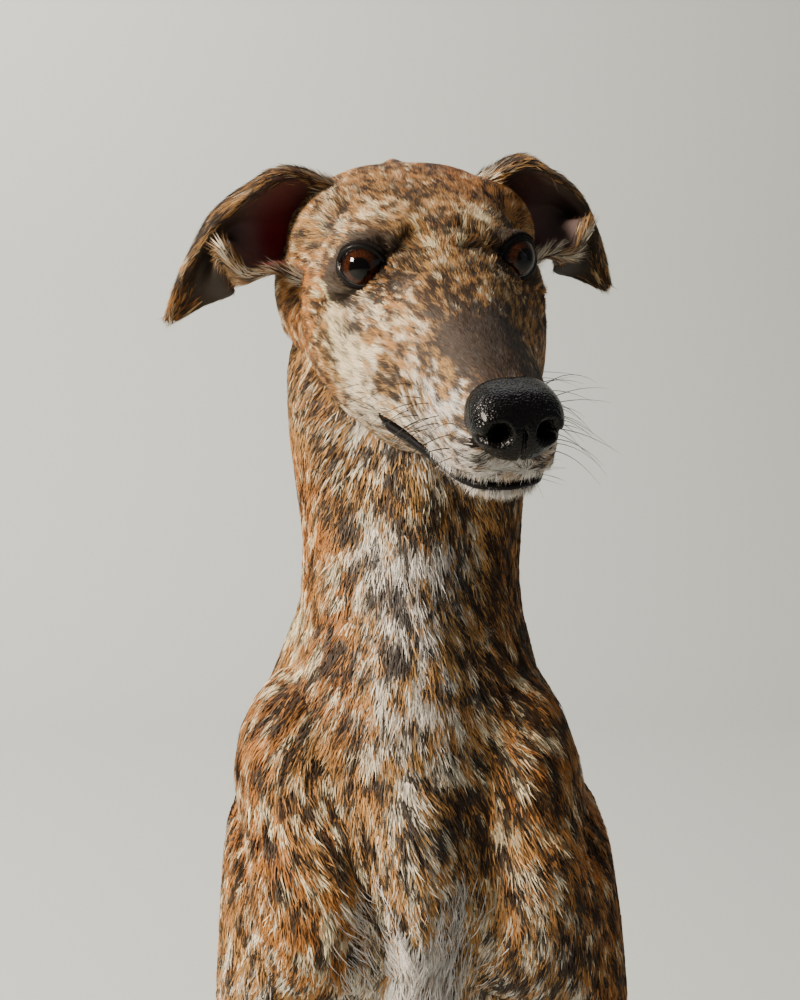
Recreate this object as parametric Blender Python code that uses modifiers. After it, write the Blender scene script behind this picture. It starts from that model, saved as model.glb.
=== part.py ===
"""A greyhound sitting upright, life size, as a still museum model.

The animal faces -Y, its left side is +X, and it sits on the floor at z = 0. Its flesh is lofted and
massed from the sizes below, fused, rounded, and then parted with thin cuts into the pieces that a
person would name. Units are metres.
"""

import math

import bmesh
import bpy
import numpy as np
from mathutils import Euler, Matrix, Vector

# Gap that two touching pieces keep
GAP = 0.0003

# The model's origin is on the floor under the middle of its seat, this far behind the forelegs
SEAT_BACK = 0.338

# Where the head is carried: the point midway between the eyeballs, and how the head is turned
EYE_HEIGHT = 0.780
EYE_FORWARD = 0.045
EYE_ASIDE = 0.0145
HEAD_NOSE_DOWN = math.radians(18.0)
HEAD_TURN = math.radians(12.5)
HEAD_TILT = math.radians(-2.5)

# The head's own sizes: forward is measured from the eyeballs
EYE_RADIUS = 0.0126
EYE_SUNK = 0.0028
EYE_SPREAD = 0.0345
LID_THICKNESS = 0.0024
LID_HALF_WIDTH = 0.0116
LID_HALF_HEIGHT = 0.0084
GAZE_OUT = math.radians(24.0)
GAZE_UP = math.radians(10.0)
NOSE_FORWARD = 0.1330
NOSE_DROP = 0.0275
NOSE_HALF_WIDTH = 0.0190
MOUTH_CORNER_FORWARD = 0.042
MOUTH_FRONT = 0.150
MOUTH_DROP = 0.0525
MOUTH_SAG = 0.0035
MOUTH_CORNER_LOWER = 0.0050
MOUTH_GAP = 0.0016

# How square the head's rings are: 1 is an ellipse and 0 a box
BOXY = 0.68
# Where its middle lies between underside and top, and how much narrower the jaw is than the cheeks
HEAD_MIDDLE = 0.46
JAW_NARROW = 0.19

# The chest leans this far to its right, most at this height, within this reach of it
LEAN = 0.006
LEAN_HEIGHT = 0.545
LEAN_REACH = 0.055

# The ears, measured from the eyeballs like the head
EAR_THICKNESS = 0.0030
EAR_SPLIT_ACROSS = 14
EAR_SPLIT_ALONG = 18

# Where the limbs stand
PAW_SPREAD = 0.067
PAW_FRONT = -0.068
HINDPAW_SPREAD = 0.119
HINDPAW_FRONT = 0.082
FORE_KNUCKLE = 0.0245
HIND_KNUCKLE = 0.0215
TOE_OFFSETS = (-0.0185, -0.0068, 0.0068, 0.0185)
OUTER_TOE_BACK = 0.011
TOE_SPLAY = 0.25
TOE_RADIUS = 0.0098
CLAW_LENGTH = 0.011

# Where the cuts part the flesh
WRIST_HEIGHT = 0.098
ELBOW_HEIGHT = 0.372
FORELEG_BACK = 0.0640
FORELEG_INSIDE = 0.030
FLANK_ASIDE = 0.074
HAUNCH_FRONT = 0.085
HAUNCH_TOP = 0.318
HOCK_INSIDE = 0.088
HOCK_HEIGHT = 0.040
TAIL_BACK = 0.404
KNEE = (0.0, 0.140, 0.292)
KNEE_NORMAL = (0.0, 0.756, 0.655)
NAPE_POINT = (0.0, 0.042, 0.740)
NAPE_NORMAL = (0.0, -0.62, 0.785)
NECK_BASE_POINT = (0.0, 0.042, 0.598)
NECK_BASE_NORMAL = (0.0, -0.36, 0.93)
RIBS_POINT = (0.0, 0.165, 0.350)
RIBS_NORMAL = (0.0, -0.58, 0.815)

# How finely each mass is fused, rounded and faceted
BODY_VOXEL = 0.0048
HEAD_VOXEL = 0.0024
PAW_VOXEL = 0.0022
NOSE_VOXEL = 0.0011
EAR_VOXEL = 0.0012
BODY_TRIANGLES = 4600
TRUNK_TRIANGLES = 20000
HEAD_TRIANGLES = 3200
PAW_TRIANGLES = 600
NOSE_TRIANGLES = 440
EAR_TRIANGLES = 760
CUTTER_AROUND = 10
TRUNK_ROUNDING = 22

# How far the blocks that cut the flesh reach past it
BLOCK_REACH = 2.0
LIMB_REACH = 0.30
HAUNCH_REACH = 0.50
BELOW_FLOOR = -0.10

LEFT, RIGHT = 1, -1
SIDES = {"left": LEFT, "right": RIGHT}

# Stations of the flesh: centre (x, y, z), half width, reach to the back, reach to the front, and how
# much narrower than its middle the front edge is
TORSO = (
    ((0, 0.045, 0.585), 0.062, 0.066, 0.070, 0.10),
    ((0, 0.052, 0.525), 0.078, 0.088, 0.098, 0.25),
    ((0, 0.085, 0.455), 0.093, 0.102, 0.118, 0.35),
    ((0, 0.135, 0.385), 0.103, 0.103, 0.116, 0.35),
    ((0, 0.194, 0.312), 0.091, 0.093, 0.093, 0.25),
    ((0, 0.248, 0.240), 0.078, 0.086, 0.078, 0.10),
    ((0, 0.290, 0.163), 0.084, 0.090, 0.082, 0.00),
    ((0, 0.318, 0.090), 0.088, 0.078, 0.080, 0.00),
    ((0, 0.333, 0.035), 0.074, 0.060, 0.070, 0.00),
    ((0, 0.338, -0.010), 0.050, 0.040, 0.050, 0.00),
)
NECK = (
    ((0, 0.026, 0.790), 0.043, 0.040, 0.034, 0.0),
    ((0, 0.036, 0.745), 0.062, 0.054, 0.050, 0.0),
    ((0, 0.040, 0.700), 0.0655, 0.056, 0.058, 0.10),
    ((0, 0.041, 0.655), 0.0610, 0.057, 0.063, 0.18),
    ((0, 0.041, 0.610), 0.0600, 0.066, 0.071, 0.18),
    ((0, 0.045, 0.560), 0.0740, 0.080, 0.086, 0.15),
    ((0, 0.055, 0.505), 0.0740, 0.080, 0.090, 0.10),
)
FORELEG = (
    ((0.076, 0.032, 0.440), 0.034, 0.040, 0.040, 0.0),
    ((0.082, 0.024, 0.385), 0.031, 0.042, 0.038, 0.0),
    ((0.081, 0.010, 0.325), 0.027, 0.030, 0.029, 0.0),
    ((0.076, 0.003, 0.245), 0.0200, 0.0200, 0.0215, 0.0),
    ((0.071, 0.000, 0.165), 0.0175, 0.0175, 0.0175, 0.0),
    ((0.069, 0.001, 0.125), 0.0200, 0.0200, 0.0185, 0.0),
    ((0.068, -0.005, 0.085), 0.0190, 0.0160, 0.0165, 0.0),
    ((0.067, -0.017, 0.050), 0.0215, 0.0170, 0.0190, 0.0),
    ((0.067, -0.030, 0.026), 0.0240, 0.0170, 0.0170, 0.0),
)
THIGH = (
    ((0.058, 0.330, 0.130), 0.040, 0.060, 0.060, 0.0),
    ((0.082, 0.275, 0.175), 0.043, 0.078, 0.080, 0.0),
    ((0.105, 0.215, 0.222), 0.038, 0.066, 0.068, 0.0),
    ((0.120, 0.170, 0.262), 0.028, 0.044, 0.044, 0.0),
    ((0.125, 0.148, 0.285), 0.020, 0.026, 0.026, 0.0),
)
SHANK = (
    ((0.124, 0.150, 0.278), 0.022, 0.028, 0.028, 0.0),
    ((0.124, 0.178, 0.215), 0.026, 0.040, 0.034, 0.0),
    ((0.121, 0.222, 0.148), 0.022, 0.030, 0.026, 0.0),
    ((0.118, 0.266, 0.088), 0.0150, 0.0180, 0.0160, 0.0),
    ((0.117, 0.300, 0.040), 0.0165, 0.0200, 0.0180, 0.0),
)
HINDFOOT = (
    ((0.116, 0.326, 0.024), 0.0120, 0.0140, 0.0120, 0.0),
    ((0.117, 0.298, 0.022), 0.0165, 0.0200, 0.0180, 0.0),
    ((0.118, 0.240, 0.016), 0.0150, 0.0170, 0.0150, 0.0),
    ((0.119, 0.170, 0.016), 0.0175, 0.0180, 0.0150, 0.0),
    ((0.119, 0.135, 0.018), 0.0220, 0.0180, 0.0160, 0.0),
)
TAIL = (
    ((0, 0.350, 0.110), 0.0260, 0.0260, 0.0260, 0.0),
    ((0, 0.398, 0.066), 0.0190, 0.0190, 0.0190, 0.0),
    ((0.004, 0.440, 0.027), 0.0150, 0.0150, 0.0150, 0.0),
    ((0.020, 0.500, 0.0110), 0.0120, 0.0120, 0.0120, 0.0),
    ((0.062, 0.570, 0.0085), 0.0092, 0.0092, 0.0092, 0.0),
    ((0.130, 0.620, 0.0065), 0.0070, 0.0070, 0.0070, 0.0),
    ((0.205, 0.625, 0.0048), 0.0052, 0.0052, 0.0052, 0.0),
    ((0.260, 0.590, 0.0034), 0.0038, 0.0038, 0.0038, 0.0),
)
# The head is lofted from the nose back: forward, top, underside, half width, and how much narrower
# the bridge or crown is than the cheeks
HEAD = (
    (0.1300, -0.0180, -0.0540, 0.0155, 0.20),
    (0.1200, -0.0155, -0.0655, 0.0215, 0.30),
    (0.0900, -0.0075, -0.0700, 0.0275, 0.34),
    (0.0600, 0.0000, -0.0760, 0.0335, 0.34),
    (0.0320, 0.0085, -0.0835, 0.0440, 0.28),
    (0.0100, 0.0165, -0.0890, 0.0520, 0.20),
    (-0.0150, 0.0225, -0.0895, 0.0580, 0.12),
    (-0.0450, 0.0280, -0.0830, 0.0610, 0.08),
    (-0.0750, 0.0305, -0.0720, 0.0590, 0.06),
    (-0.1000, 0.0260, -0.0580, 0.0500, 0.08),
    (-0.1150, 0.0150, -0.0400, 0.0350, 0.10),
)
# Lines across the ear leather from its root to its tip, each through the tucked margin, the front
# crest, the low and the high inside of the cup, the upper roll and the upper margin: x out from the
# middle, forward, up
EAR_ROWS = (
    ((0.050, -0.060, -0.024), (0.046, -0.042, -0.021), (0.040, -0.070, -0.016),
     (0.036, -0.084, 0.000), (0.027, -0.062, 0.015), (0.026, -0.072, 0.017)),
    ((0.070, -0.056, -0.016), (0.070, -0.038, -0.010), (0.063, -0.068, -0.012),
     (0.060, -0.083, 0.002), (0.060, -0.057, 0.029), (0.060, -0.070, 0.032)),
    ((0.086, -0.060, -0.021), (0.087, -0.038, -0.011), (0.079, -0.066, -0.010),
     (0.078, -0.079, 0.004), (0.082, -0.054, 0.021), (0.083, -0.067, 0.024)),
    ((0.090, -0.074, -0.027), (0.099, -0.042, 0.001), (0.091, -0.066, -0.002),
     (0.091, -0.073, 0.004), (0.098, -0.055, 0.010), (0.100, -0.066, 0.012)),
    ((0.092, -0.079, -0.033), (0.101, -0.062, -0.018), (0.102, -0.068, -0.011),
     (0.104, -0.070, -0.007), (0.109, -0.060, -0.005), (0.111, -0.067, -0.005)),
    ((0.105, -0.079, -0.037), (0.108, -0.074, -0.031), (0.111, -0.073, -0.026),
     (0.114, -0.071, -0.022), (0.117, -0.066, -0.020), (0.119, -0.069, -0.020)),
    ((0.122, -0.076, -0.044), (0.123, -0.075, -0.043), (0.124, -0.075, -0.042),
     (0.125, -0.074, -0.041), (0.126, -0.073, -0.041), (0.127, -0.073, -0.041)),
)
EAR_LIFT = {LEFT: math.radians(3.0), RIGHT: 0.0}
EAR_LENGTH = {LEFT: 0.80, RIGHT: 0.96}
EAR_HINGE = (0.045, -0.070, 0.0)

# Rounded masses on each side: centre, radii, and turn about X in degrees
SHOULDER_MASSES = (
    ((0.034, 0.092, 0.545), (0.026, 0.040, 0.062), 22),
    ((0.055, 0.026, 0.505), (0.036, 0.052, 0.076), 20),
    ((0.075, 0.036, 0.445), (0.034, 0.054, 0.074), -10),
    ((0.082, 0.040, 0.400), (0.026, 0.036, 0.044), 0),
    ((0.052, -0.004, 0.470), (0.036, 0.034, 0.072), 0),
)
KEEL_MASSES = (
    ((0, -0.026, 0.495), (0.0230, 0.026, 0.062), -4),
    ((0, -0.004, 0.430), (0.0250, 0.026, 0.052), -20),
)
HEAD_MASSES = (
    ((0.0400, 0.0400, -0.0360), (0.0180, 0.0360, 0.0280), 0),
    ((0.0430, 0.0200, -0.0080), (0.0085, 0.0340, 0.0080), -6),
    ((0.0270, -0.0030, 0.0030), (0.0130, 0.0180, 0.0095), 0),
    ((0.0120, -0.1060, -0.0410), (0.0120, 0.0260, 0.0170), 0),
    ((0.0300, 0.0580, -0.0030), (0.0335, 0.0360, 0.0300), 0),
)
CREST_MASSES = (
    ((0, 0.0960, 0.0165), (0.0100, 0.0190, 0.0110), 20),
    ((0, -0.1040, -0.0605), (0.0135, 0.0220, 0.0080), 0),
)
# The furred base of each ear: centre and radii
EAR_BASES = {
    LEFT: ((0.0400, 0.0640, -0.0120), (0.0240, 0.0300, 0.0300)),
    RIGHT: ((0.0440, 0.0620, -0.0280), (0.0260, 0.0320, 0.0340)),
}


def colour_of(name, red, green, blue, roughness):
    """A plain material: coat, leather or eye."""
    material = bpy.data.materials.new(name)
    material.use_nodes = True
    shader = material.node_tree.nodes["Principled BSDF"]
    shader.inputs["Base Color"].default_value = (red, green, blue, 1.0)
    shader.inputs["Roughness"].default_value = roughness
    shader.inputs["Metallic"].default_value = 0.0
    return material


def head_matrix():
    """Carries the head's own frame, which faces -Y level, to its place on the neck."""
    place = Matrix.Translation((EYE_ASIDE, -EYE_FORWARD, EYE_HEIGHT))
    turn = Matrix.Rotation(HEAD_TURN, 4, "Z") @ Matrix.Rotation(HEAD_NOSE_DOWN, 4, "X")
    return place @ turn @ Matrix.Rotation(HEAD_TILT, 4, "Y")


def through(values, count):
    """A smooth curve through each column of values, read at count even steps (Catmull-Rom)."""
    values = np.array(values, float)
    padded = np.vstack([2 * values[0] - values[1], values, 2 * values[-1] - values[-2]])
    at = np.linspace(0, len(values) - 1, count)
    start = np.minimum(at.astype(int), len(values) - 2)
    t = (at - start)[:, None]
    a, b, c, d = (padded[start + k] for k in range(4))
    return 0.5 * (2 * b + (c - a) * t + (2 * a - 5 * b + 4 * c - d) * t**2
                  + (3 * b - a - 3 * c + d) * t**3)


def mesh_object(name, points, faces, collection):
    mesh = bpy.data.meshes.new(name)
    mesh.from_pydata([tuple(p) for p in points], [], faces)
    made = bpy.data.objects.new(name, mesh)
    collection.objects.link(made)
    return made


def loft(name, stations, rings, sides, collection, side=LEFT, lies=False):
    """Egg-shaped rings along the stations' line, each square to it, closed at both ends. A part that
    lies on the floor takes its width level, and one that stands takes it sideways."""
    rows = [(c[0] * side, c[1], c[2], w, b, f, n) for c, w, b, f, n in stations]
    smooth = through(rows, rings)
    line = smooth[:, :3]
    along = np.gradient(line, axis=0)
    along /= np.linalg.norm(along, axis=1)[:, None]
    across = np.cross(along, (0.0, 0.0, 1.0)) if lies else np.array([1.0, 0, 0]) - along * along[:, :1]
    across /= np.linalg.norm(across, axis=1)[:, None]
    back = np.cross(across, along)
    angle = np.linspace(0, 2 * math.pi, sides, endpoint=False)
    points = []
    for centre, s, b, row in zip(line, across, back, smooth[:, 3:]):
        width, back_reach, front_reach, narrow = row
        depth = np.where(np.sin(angle) > 0, back_reach, front_reach) * np.sin(angle)
        taper = 1 - narrow * np.clip(-np.sin(angle), 0, 1) ** 2
        points.extend(centre + np.outer(width * taper * np.cos(angle), s) + np.outer(depth, b))
    return closed_rings(name, points, rings, sides, collection)


def closed_rings(name, points, rings, sides, collection):
    """Joins rings of points, in order, into one closed skin facing out."""
    faces = []
    for i in range(rings - 1):
        for j in range(sides):
            k = (j + 1) % sides
            faces.append((i * sides + j, i * sides + k, (i + 1) * sides + k, (i + 1) * sides + j))
    faces.append(tuple(range(sides)))
    faces.append(tuple(range((rings - 1) * sides, rings * sides)))
    made = mesh_object(name, points, faces, collection)
    face_out(made)
    return made


def face_out(made):
    work = bmesh.new()
    work.from_mesh(made.data)
    bmesh.ops.recalc_face_normals(work, faces=work.faces)
    work.to_mesh(made.data)
    work.free()


def head_loft(collection):
    """The skull and muzzle: rings square to the head's own length, narrower at the bridge."""
    rings, sides = 44, 40
    smooth = through(HEAD, rings)
    angle = np.linspace(0, 2 * math.pi, sides, endpoint=False)
    points = []
    for forward, top, under, width, narrow in smooth:
        rise = np.sign(np.sin(angle)) * np.abs(np.sin(angle)) ** BOXY
        middle = under + (top - under) * HEAD_MIDDLE
        height = np.where(rise > 0, middle + (top - middle) * rise, middle + (middle - under) * rise)
        bridge = 1 - narrow * np.clip(rise, 0, 1) ** 2 - JAW_NARROW * np.clip(-rise, 0, 1) ** 2
        side = width * bridge * np.sign(np.cos(angle)) * np.abs(np.cos(angle)) ** BOXY
        points.extend(np.stack([side, np.full(sides, -forward), height], axis=1))
    return closed_rings("head_loft", points, rings, sides, collection)


def mass(name, centre, radii, turn, collection, side=LEFT, around=28):
    """An ellipsoid of flesh or bone, tipped about X."""
    bpy.ops.mesh.primitive_uv_sphere_add(segments=around, ring_count=around // 2 + 1, radius=1.0)
    made = bpy.context.object
    made.name = name
    move_to(made, collection)
    place = Matrix.Translation((centre[0] * side, centre[1], centre[2]))
    tip = Matrix.Rotation(math.radians(turn), 4, "X")
    made.data.transform(place @ tip @ Matrix.Diagonal((*radii, 1.0)))
    return made


def masses(name, rows, collection, sides=(LEFT, RIGHT), around=28):
    return [mass(f"{name}_{i}_{side}", *row, collection, side, around)
            for i, row in enumerate(rows) for side in sides]


def move_to(made, collection):
    for held in list(made.users_collection):
        held.objects.unlink(made)
    collection.objects.link(made)


def select_only(made):
    bpy.ops.object.select_all(action="DESELECT")
    for one in made:
        one.select_set(True)
    bpy.context.view_layer.objects.active = made[0]


def apply_modifiers(made):
    select_only([made])
    bpy.ops.object.convert(target="MESH")


def keep_largest(made):
    """Drops every closed surface but the largest, such as a scrap or a sealed hollow."""
    select_only([made])
    bpy.ops.object.mode_set(mode="EDIT")
    bpy.ops.mesh.select_all(action="SELECT")
    bpy.ops.mesh.separate(type="LOOSE")
    bpy.ops.object.mode_set(mode="OBJECT")
    pieces = sorted(bpy.context.selected_objects, key=size_of)
    for scrap in pieces[:-1]:
        bpy.data.objects.remove(scrap)
    return pieces[-1]


def size_of(made):
    return sum(face.area for face in made.data.polygons)


def fuse(pieces, name, voxel, rounding, triangles):
    """Joins masses into one skin, rounds its creases over a few voxels, and facets it."""
    select_only(pieces)
    bpy.ops.object.join()
    made = bpy.context.object
    made.name = name
    remesh = made.modifiers.new("fuse", "REMESH")
    remesh.mode = "VOXEL"
    remesh.voxel_size = voxel
    smooth = made.modifiers.new("round", "SMOOTH")
    smooth.factor = 0.5
    smooth.iterations = rounding
    apply_modifiers(made)
    made = keep_largest(made)
    count = sum(len(face.vertices) - 2 for face in made.data.polygons)
    facet = made.modifiers.new("facet", "DECIMATE")
    facet.ratio = min(1.0, triangles / count)
    apply_modifiers(made)
    made.name = name
    return made


def boolean(made, other, operation, keep=False):
    """Applies one exact Boolean, and removes the cutter unless it is kept."""
    cut = made.modifiers.new(operation.lower(), "BOOLEAN")
    cut.operation = operation
    cut.object = other
    cut.solver = "EXACT"
    apply_modifiers(made)
    if not keep:
        bpy.data.objects.remove(other)
    return made


def copy_of(made, name, collection):
    twin = made.copy()
    twin.data = made.data.copy()
    twin.name = name
    collection.objects.link(twin)
    return twin


def box(name, low, high, collection, matrix=None):
    """A box between two corners, turned by matrix where it is given."""
    bpy.ops.mesh.primitive_cube_add(size=1.0)
    made = bpy.context.object
    made.name = name
    move_to(made, collection)
    low, high = Vector(low), Vector(high)
    place = Matrix.Translation((low + high) / 2) @ Matrix.Diagonal((*(high - low), 1.0))
    made.data.transform((matrix or Matrix()) @ place)
    return made


def beyond(point, normal, collection, clear=0.0):
    """A large block that fills the side of a plane that its normal points to."""
    turn = Vector(normal).to_track_quat("Z", "Y").to_matrix().to_4x4()
    low, high = (-BLOCK_REACH, -BLOCK_REACH, clear), (BLOCK_REACH,) * 3
    return box("block", low, high, collection, Matrix.Translation(point) @ turn)


def take(body, name, cell, grown, collection):
    """Parts the flesh inside a cell from the body, and leaves the gap between the two."""
    piece = boolean(copy_of(body, name, collection), cell, "INTERSECT")
    piece = keep_largest(piece)
    piece.name = name
    boolean(body, grown, "DIFFERENCE")
    return piece


def take_box(body, name, low, high, collection, matrix=None):
    cell = box("cell", low, high, collection, matrix)
    grown = box("grown", Vector(low) - Vector((GAP,) * 3), Vector(high) + Vector((GAP,) * 3),
                collection, matrix)
    return take(body, name, cell, grown, collection)


def mirrored(low, high, side):
    """A box's corners on the other side of the animal."""
    if side == LEFT:
        return low, high
    return (-high[0], low[1], low[2]), (-low[0], high[1], high[2])


def paw(name, legs, centre_x, front, knuckle, side, collection):
    """Four arched toes fused to the end of the leg, with a claw on each, flat underneath."""
    pieces = list(legs)
    claws = []
    for i, offset in enumerate(TOE_OFFSETS):
        outer = offset in (TOE_OFFSETS[0], TOE_OFFSETS[-1])
        tip = front + (OUTER_TOE_BACK if outer else 0.0)
        x = centre_x * side + offset
        splay = offset * TOE_SPLAY
        toe = (
            ((x - splay, tip + 0.040, knuckle), 0.0098, 0.0100, 0.0100, 0.0),
            ((x, tip + 0.022, knuckle + 0.001), 0.0100, 0.0098, 0.0104, 0.0),
            ((x + splay * 0.6, tip + 0.008, 0.0140), TOE_RADIUS, 0.0095, 0.0095, 0.0),
            ((x + splay, tip, 0.0092), 0.0078, 0.0075, 0.0075, 0.0),
        )
        pieces.append(loft(f"toe_{i}", toe, 9, 12, collection))
        claws.append(claw(f"claw_{i}", (x + splay, tip - 0.001, 0.0105), collection))
    pad = mass("pad", (centre_x, front + 0.036, 0.0085), (0.0185, 0.0150, 0.0105), 0, collection, side)
    pieces.append(pad)
    made = fuse(pieces, name, PAW_VOXEL, 3, PAW_TRIANGLES)
    for one in claws:
        boolean(made, one, "UNION")
    return made


def claw(name, root, collection):
    """A short curved horn, thick at the root, that just clears the floor."""
    bpy.ops.mesh.primitive_cone_add(vertices=6, radius1=0.0027, radius2=0.0007, depth=CLAW_LENGTH)
    made = bpy.context.object
    made.name = name
    move_to(made, collection)
    tip_down = Euler((math.radians(112), 0, 0)).to_matrix().to_4x4()
    forward = Vector(root) + Vector((0, -CLAW_LENGTH * 0.42, -0.0012))
    made.data.transform(Matrix.Translation(forward) @ tip_down)
    return made


def build_head(nose, collection):
    """Skull, muzzle, lips, brow, cheeks, lids and the mouth's line."""
    pieces = [head_loft(collection)]
    pieces += masses("head_mass", HEAD_MASSES, collection)
    pieces += masses("crest", CREST_MASSES, collection, sides=(LEFT,))
    for side, (centre, radii) in EAR_BASES.items():
        pieces += masses("ear_base", ((centre, radii, 0),), collection, sides=(side,))
    for made in pieces:
        made.data.transform(head_matrix())
    pieces.append(loft("throat", NECK[:5], 24, 32, collection))
    head = fuse(pieces, "head", HEAD_VOXEL, 7, HEAD_TRIANGLES)
    keep_below(head, NAPE_POINT, tuple(-n for n in NAPE_NORMAL), collection)
    boolean(head, swollen(nose, GAP * 1.5, collection), "DIFFERENCE")
    head = finished(head, "head")
    for side in SIDES.values():
        add_lids(head, side, collection)
    cut_mouth(head, collection)
    return finished(head, "head")


def swollen(made, reach, collection):
    """A copy whose skin stands out a little, to cut its neighbour clear of it."""
    grown = copy_of(made, "grown", collection)
    swell = grown.modifiers.new("swell", "DISPLACE")
    swell.strength = reach
    swell.mid_level = 0.0
    apply_modifiers(grown)
    return grown


def eye_matrix(side):
    """The eyeball's own frame: its gaze runs along -Y."""
    place = Matrix.Translation((EYE_SPREAD * side, EYE_SUNK, 0))
    out = Matrix.Rotation(GAZE_OUT * side, 4, "Z")
    return head_matrix() @ place @ out @ Matrix.Rotation(-GAZE_UP, 4, "X")


def ball(name, radius, matrix, collection, segments=18, rings=12):
    bpy.ops.mesh.primitive_uv_sphere_add(segments=segments, ring_count=rings, radius=radius)
    made = bpy.context.object
    made.name = name
    move_to(made, collection)
    made.data.transform(matrix)
    return made


def add_lids(head, side, collection):
    """A shell over the eyeball, open in an almond between two lids."""
    matrix = eye_matrix(side)
    boolean(head, ball("lid", EYE_RADIUS + LID_THICKNESS, matrix, collection), "UNION")
    boolean(head, ball("socket", EYE_RADIUS + GAP, matrix, collection), "DIFFERENCE")
    angle = np.linspace(0, 2 * math.pi, 20, endpoint=False)
    outline = np.stack([LID_HALF_WIDTH * np.cos(angle),
                        LID_HALF_HEIGHT * np.sin(angle) * (0.72 + 0.28 * np.abs(np.sin(angle)))], 1)
    near, far = -0.004, -0.030
    points = [(x, y, z) for y in (near, far) for x, z in outline]
    almond = closed_rings("almond", points, 2, len(outline), collection)
    almond.data.transform(matrix @ Matrix.Rotation(math.radians(-7 * side), 4, "Y"))
    boolean(head, almond, "DIFFERENCE")


def cut_mouth(head, collection):
    """A thin curved slot from the lips' corner forward, that parts the lips."""
    forward = np.linspace(MOUTH_CORNER_FORWARD, MOUTH_FRONT, 12)
    share = (forward - MOUTH_CORNER_FORWARD) / (MOUTH_FRONT - MOUTH_CORNER_FORWARD)
    line = -MOUTH_CORNER_LOWER * (1 - share) - MOUTH_SAG * np.sin(share * math.pi) - MOUTH_DROP
    half = MOUTH_GAP / 2 * (1.0 + 0.8 * np.exp(-((share - 0.06) / 0.10) ** 2))
    points = []
    for x in (-0.06, 0.06):
        points += [(x, -f, z + h) for f, z, h in zip(forward, line, half)]
        points += [(x, -f, z - h) for f, z, h in zip(forward[::-1], line[::-1], half[::-1])]
    slot = closed_rings("mouth", points, 2, 2 * len(forward), collection)
    slot.data.transform(head_matrix())
    boolean(head, slot, "DIFFERENCE")


def build_nose(collection):
    """The leather at the tip of the muzzle, with its wings, nostrils and the groove between them."""
    f, z, w = NOSE_FORWARD, -NOSE_DROP, NOSE_HALF_WIDTH
    pieces = [mass("pad", (0, -f, z), (w, 0.0125, 0.0145), 10, collection),
              mass("lip", (0, -f - 0.001, z - 0.008), (w * 0.62, 0.0100, 0.0085), 0, collection)]
    wing = ((w * 0.56, -f - 0.0045, z - 0.001), (0.0082, 0.0095, 0.0102), 0)
    pieces += masses("wing", (wing,), collection)
    nose = fuse(pieces, "nose", NOSE_VOXEL, 4, NOSE_TRIANGLES)
    hole = ((w * 0.50, -f - 0.0130, z - 0.0005), (0.0040, 0.0085, 0.0036), -10)
    slit = ((w * 0.80, -f - 0.0085, z - 0.0035), (0.0042, 0.0070, 0.0014), 0)
    for cutter in masses("nostril", (hole, slit), collection, around=CUTTER_AROUND):
        boolean(nose, cutter, "DIFFERENCE")
    groove = mass("groove", (0, -f - 0.0135, z - 0.010), (0.0008, 0.0040, 0.0085), 0, collection,
                  around=CUTTER_AROUND)
    boolean(nose, groove, "DIFFERENCE")
    nose = keep_largest(nose)
    nose.data.transform(head_matrix())
    return nose


def build_ear(side, head, collection):
    """A rose ear: a cup at the root that opens forward, whose crest folds under, then a flap that
    falls out and back. Smooth curves run through the lines across it, both ways."""
    guides = np.array(EAR_ROWS)
    lengthwise = np.stack([through(guides[:, k], EAR_SPLIT_ALONG) for k in range(guides.shape[1])], 1)
    grid = np.stack([through(line, EAR_SPLIT_ACROSS) for line in lengthwise]) - EAR_HINGE
    lift = np.array(Matrix.Rotation(EAR_LIFT[side], 3, "Y"))
    grid = grid * (EAR_LENGTH[side], 1, 1) @ lift + EAR_HINGE
    points = (grid * (side, -1, 1)).reshape(-1, 3)
    count = EAR_SPLIT_ACROSS
    faces = [(i * count + j, i * count + j + 1, (i + 1) * count + j + 1, (i + 1) * count + j)
             for i in range(EAR_SPLIT_ALONG - 1) for j in range(count - 1)]
    name = "ear_left" if side == LEFT else "ear_right"
    ear = mesh_object(name, points, faces, collection)
    wall = ear.modifiers.new("wall", "SOLIDIFY")
    wall.thickness = EAR_THICKNESS
    wall.offset = 0.0
    apply_modifiers(ear)
    face_out(ear)
    ear = fuse([ear], name, EAR_VOXEL, 2, EAR_TRIANGLES)
    ear.data.transform(head_matrix())
    boolean(ear, swollen(head, GAP * 1.5, collection), "DIFFERENCE")
    return finished(ear, name)


def lean(made):
    """Carries the chest a little to its right: a soft hill over the height, highest at one level."""
    for vertex in made.data.vertices:
        away = (vertex.co.z - LEAN_HEIGHT) / LEAN_REACH
        vertex.co.x -= LEAN * math.exp(-away * away)
    return made


def build_body(collection):
    """Neck, trunk, limbs without paws, and tail, fused into one skin."""
    trunk = [loft("torso", TORSO, 60, 40, collection), loft("neck", NECK, 40, 32, collection)]
    trunk += masses("shoulder", SHOULDER_MASSES, collection)
    trunk += masses("keel", KEEL_MASSES, collection, sides=(LEFT,))
    pieces = [fuse(trunk, "trunk", BODY_VOXEL, TRUNK_ROUNDING, TRUNK_TRIANGLES),
              loft("tail_root", TAIL[:4], 20, 16, collection, lies=True)]
    for side in SIDES.values():
        for name, stations in (("foreleg", FORELEG), ("thigh", THIGH), ("shank", SHANK),
                               ("hindfoot", HINDFOOT)):
            pieces.append(loft(f"{name}_{side}", stations, 30, 20, collection, side))
    return lean(fuse(pieces, "body", BODY_VOXEL, 5, BODY_TRIANGLES))


def take_beyond(body, name, point, normal, collection):
    """Parts what lies past a plane, and leaves the gap there."""
    cell = beyond(point, normal, collection)
    grown = beyond(point, normal, collection, -GAP)
    return take(body, name, cell, grown, collection)


def keep_below(made, point, normal, collection):
    boolean(made, beyond(point, normal, collection), "DIFFERENCE")


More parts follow.
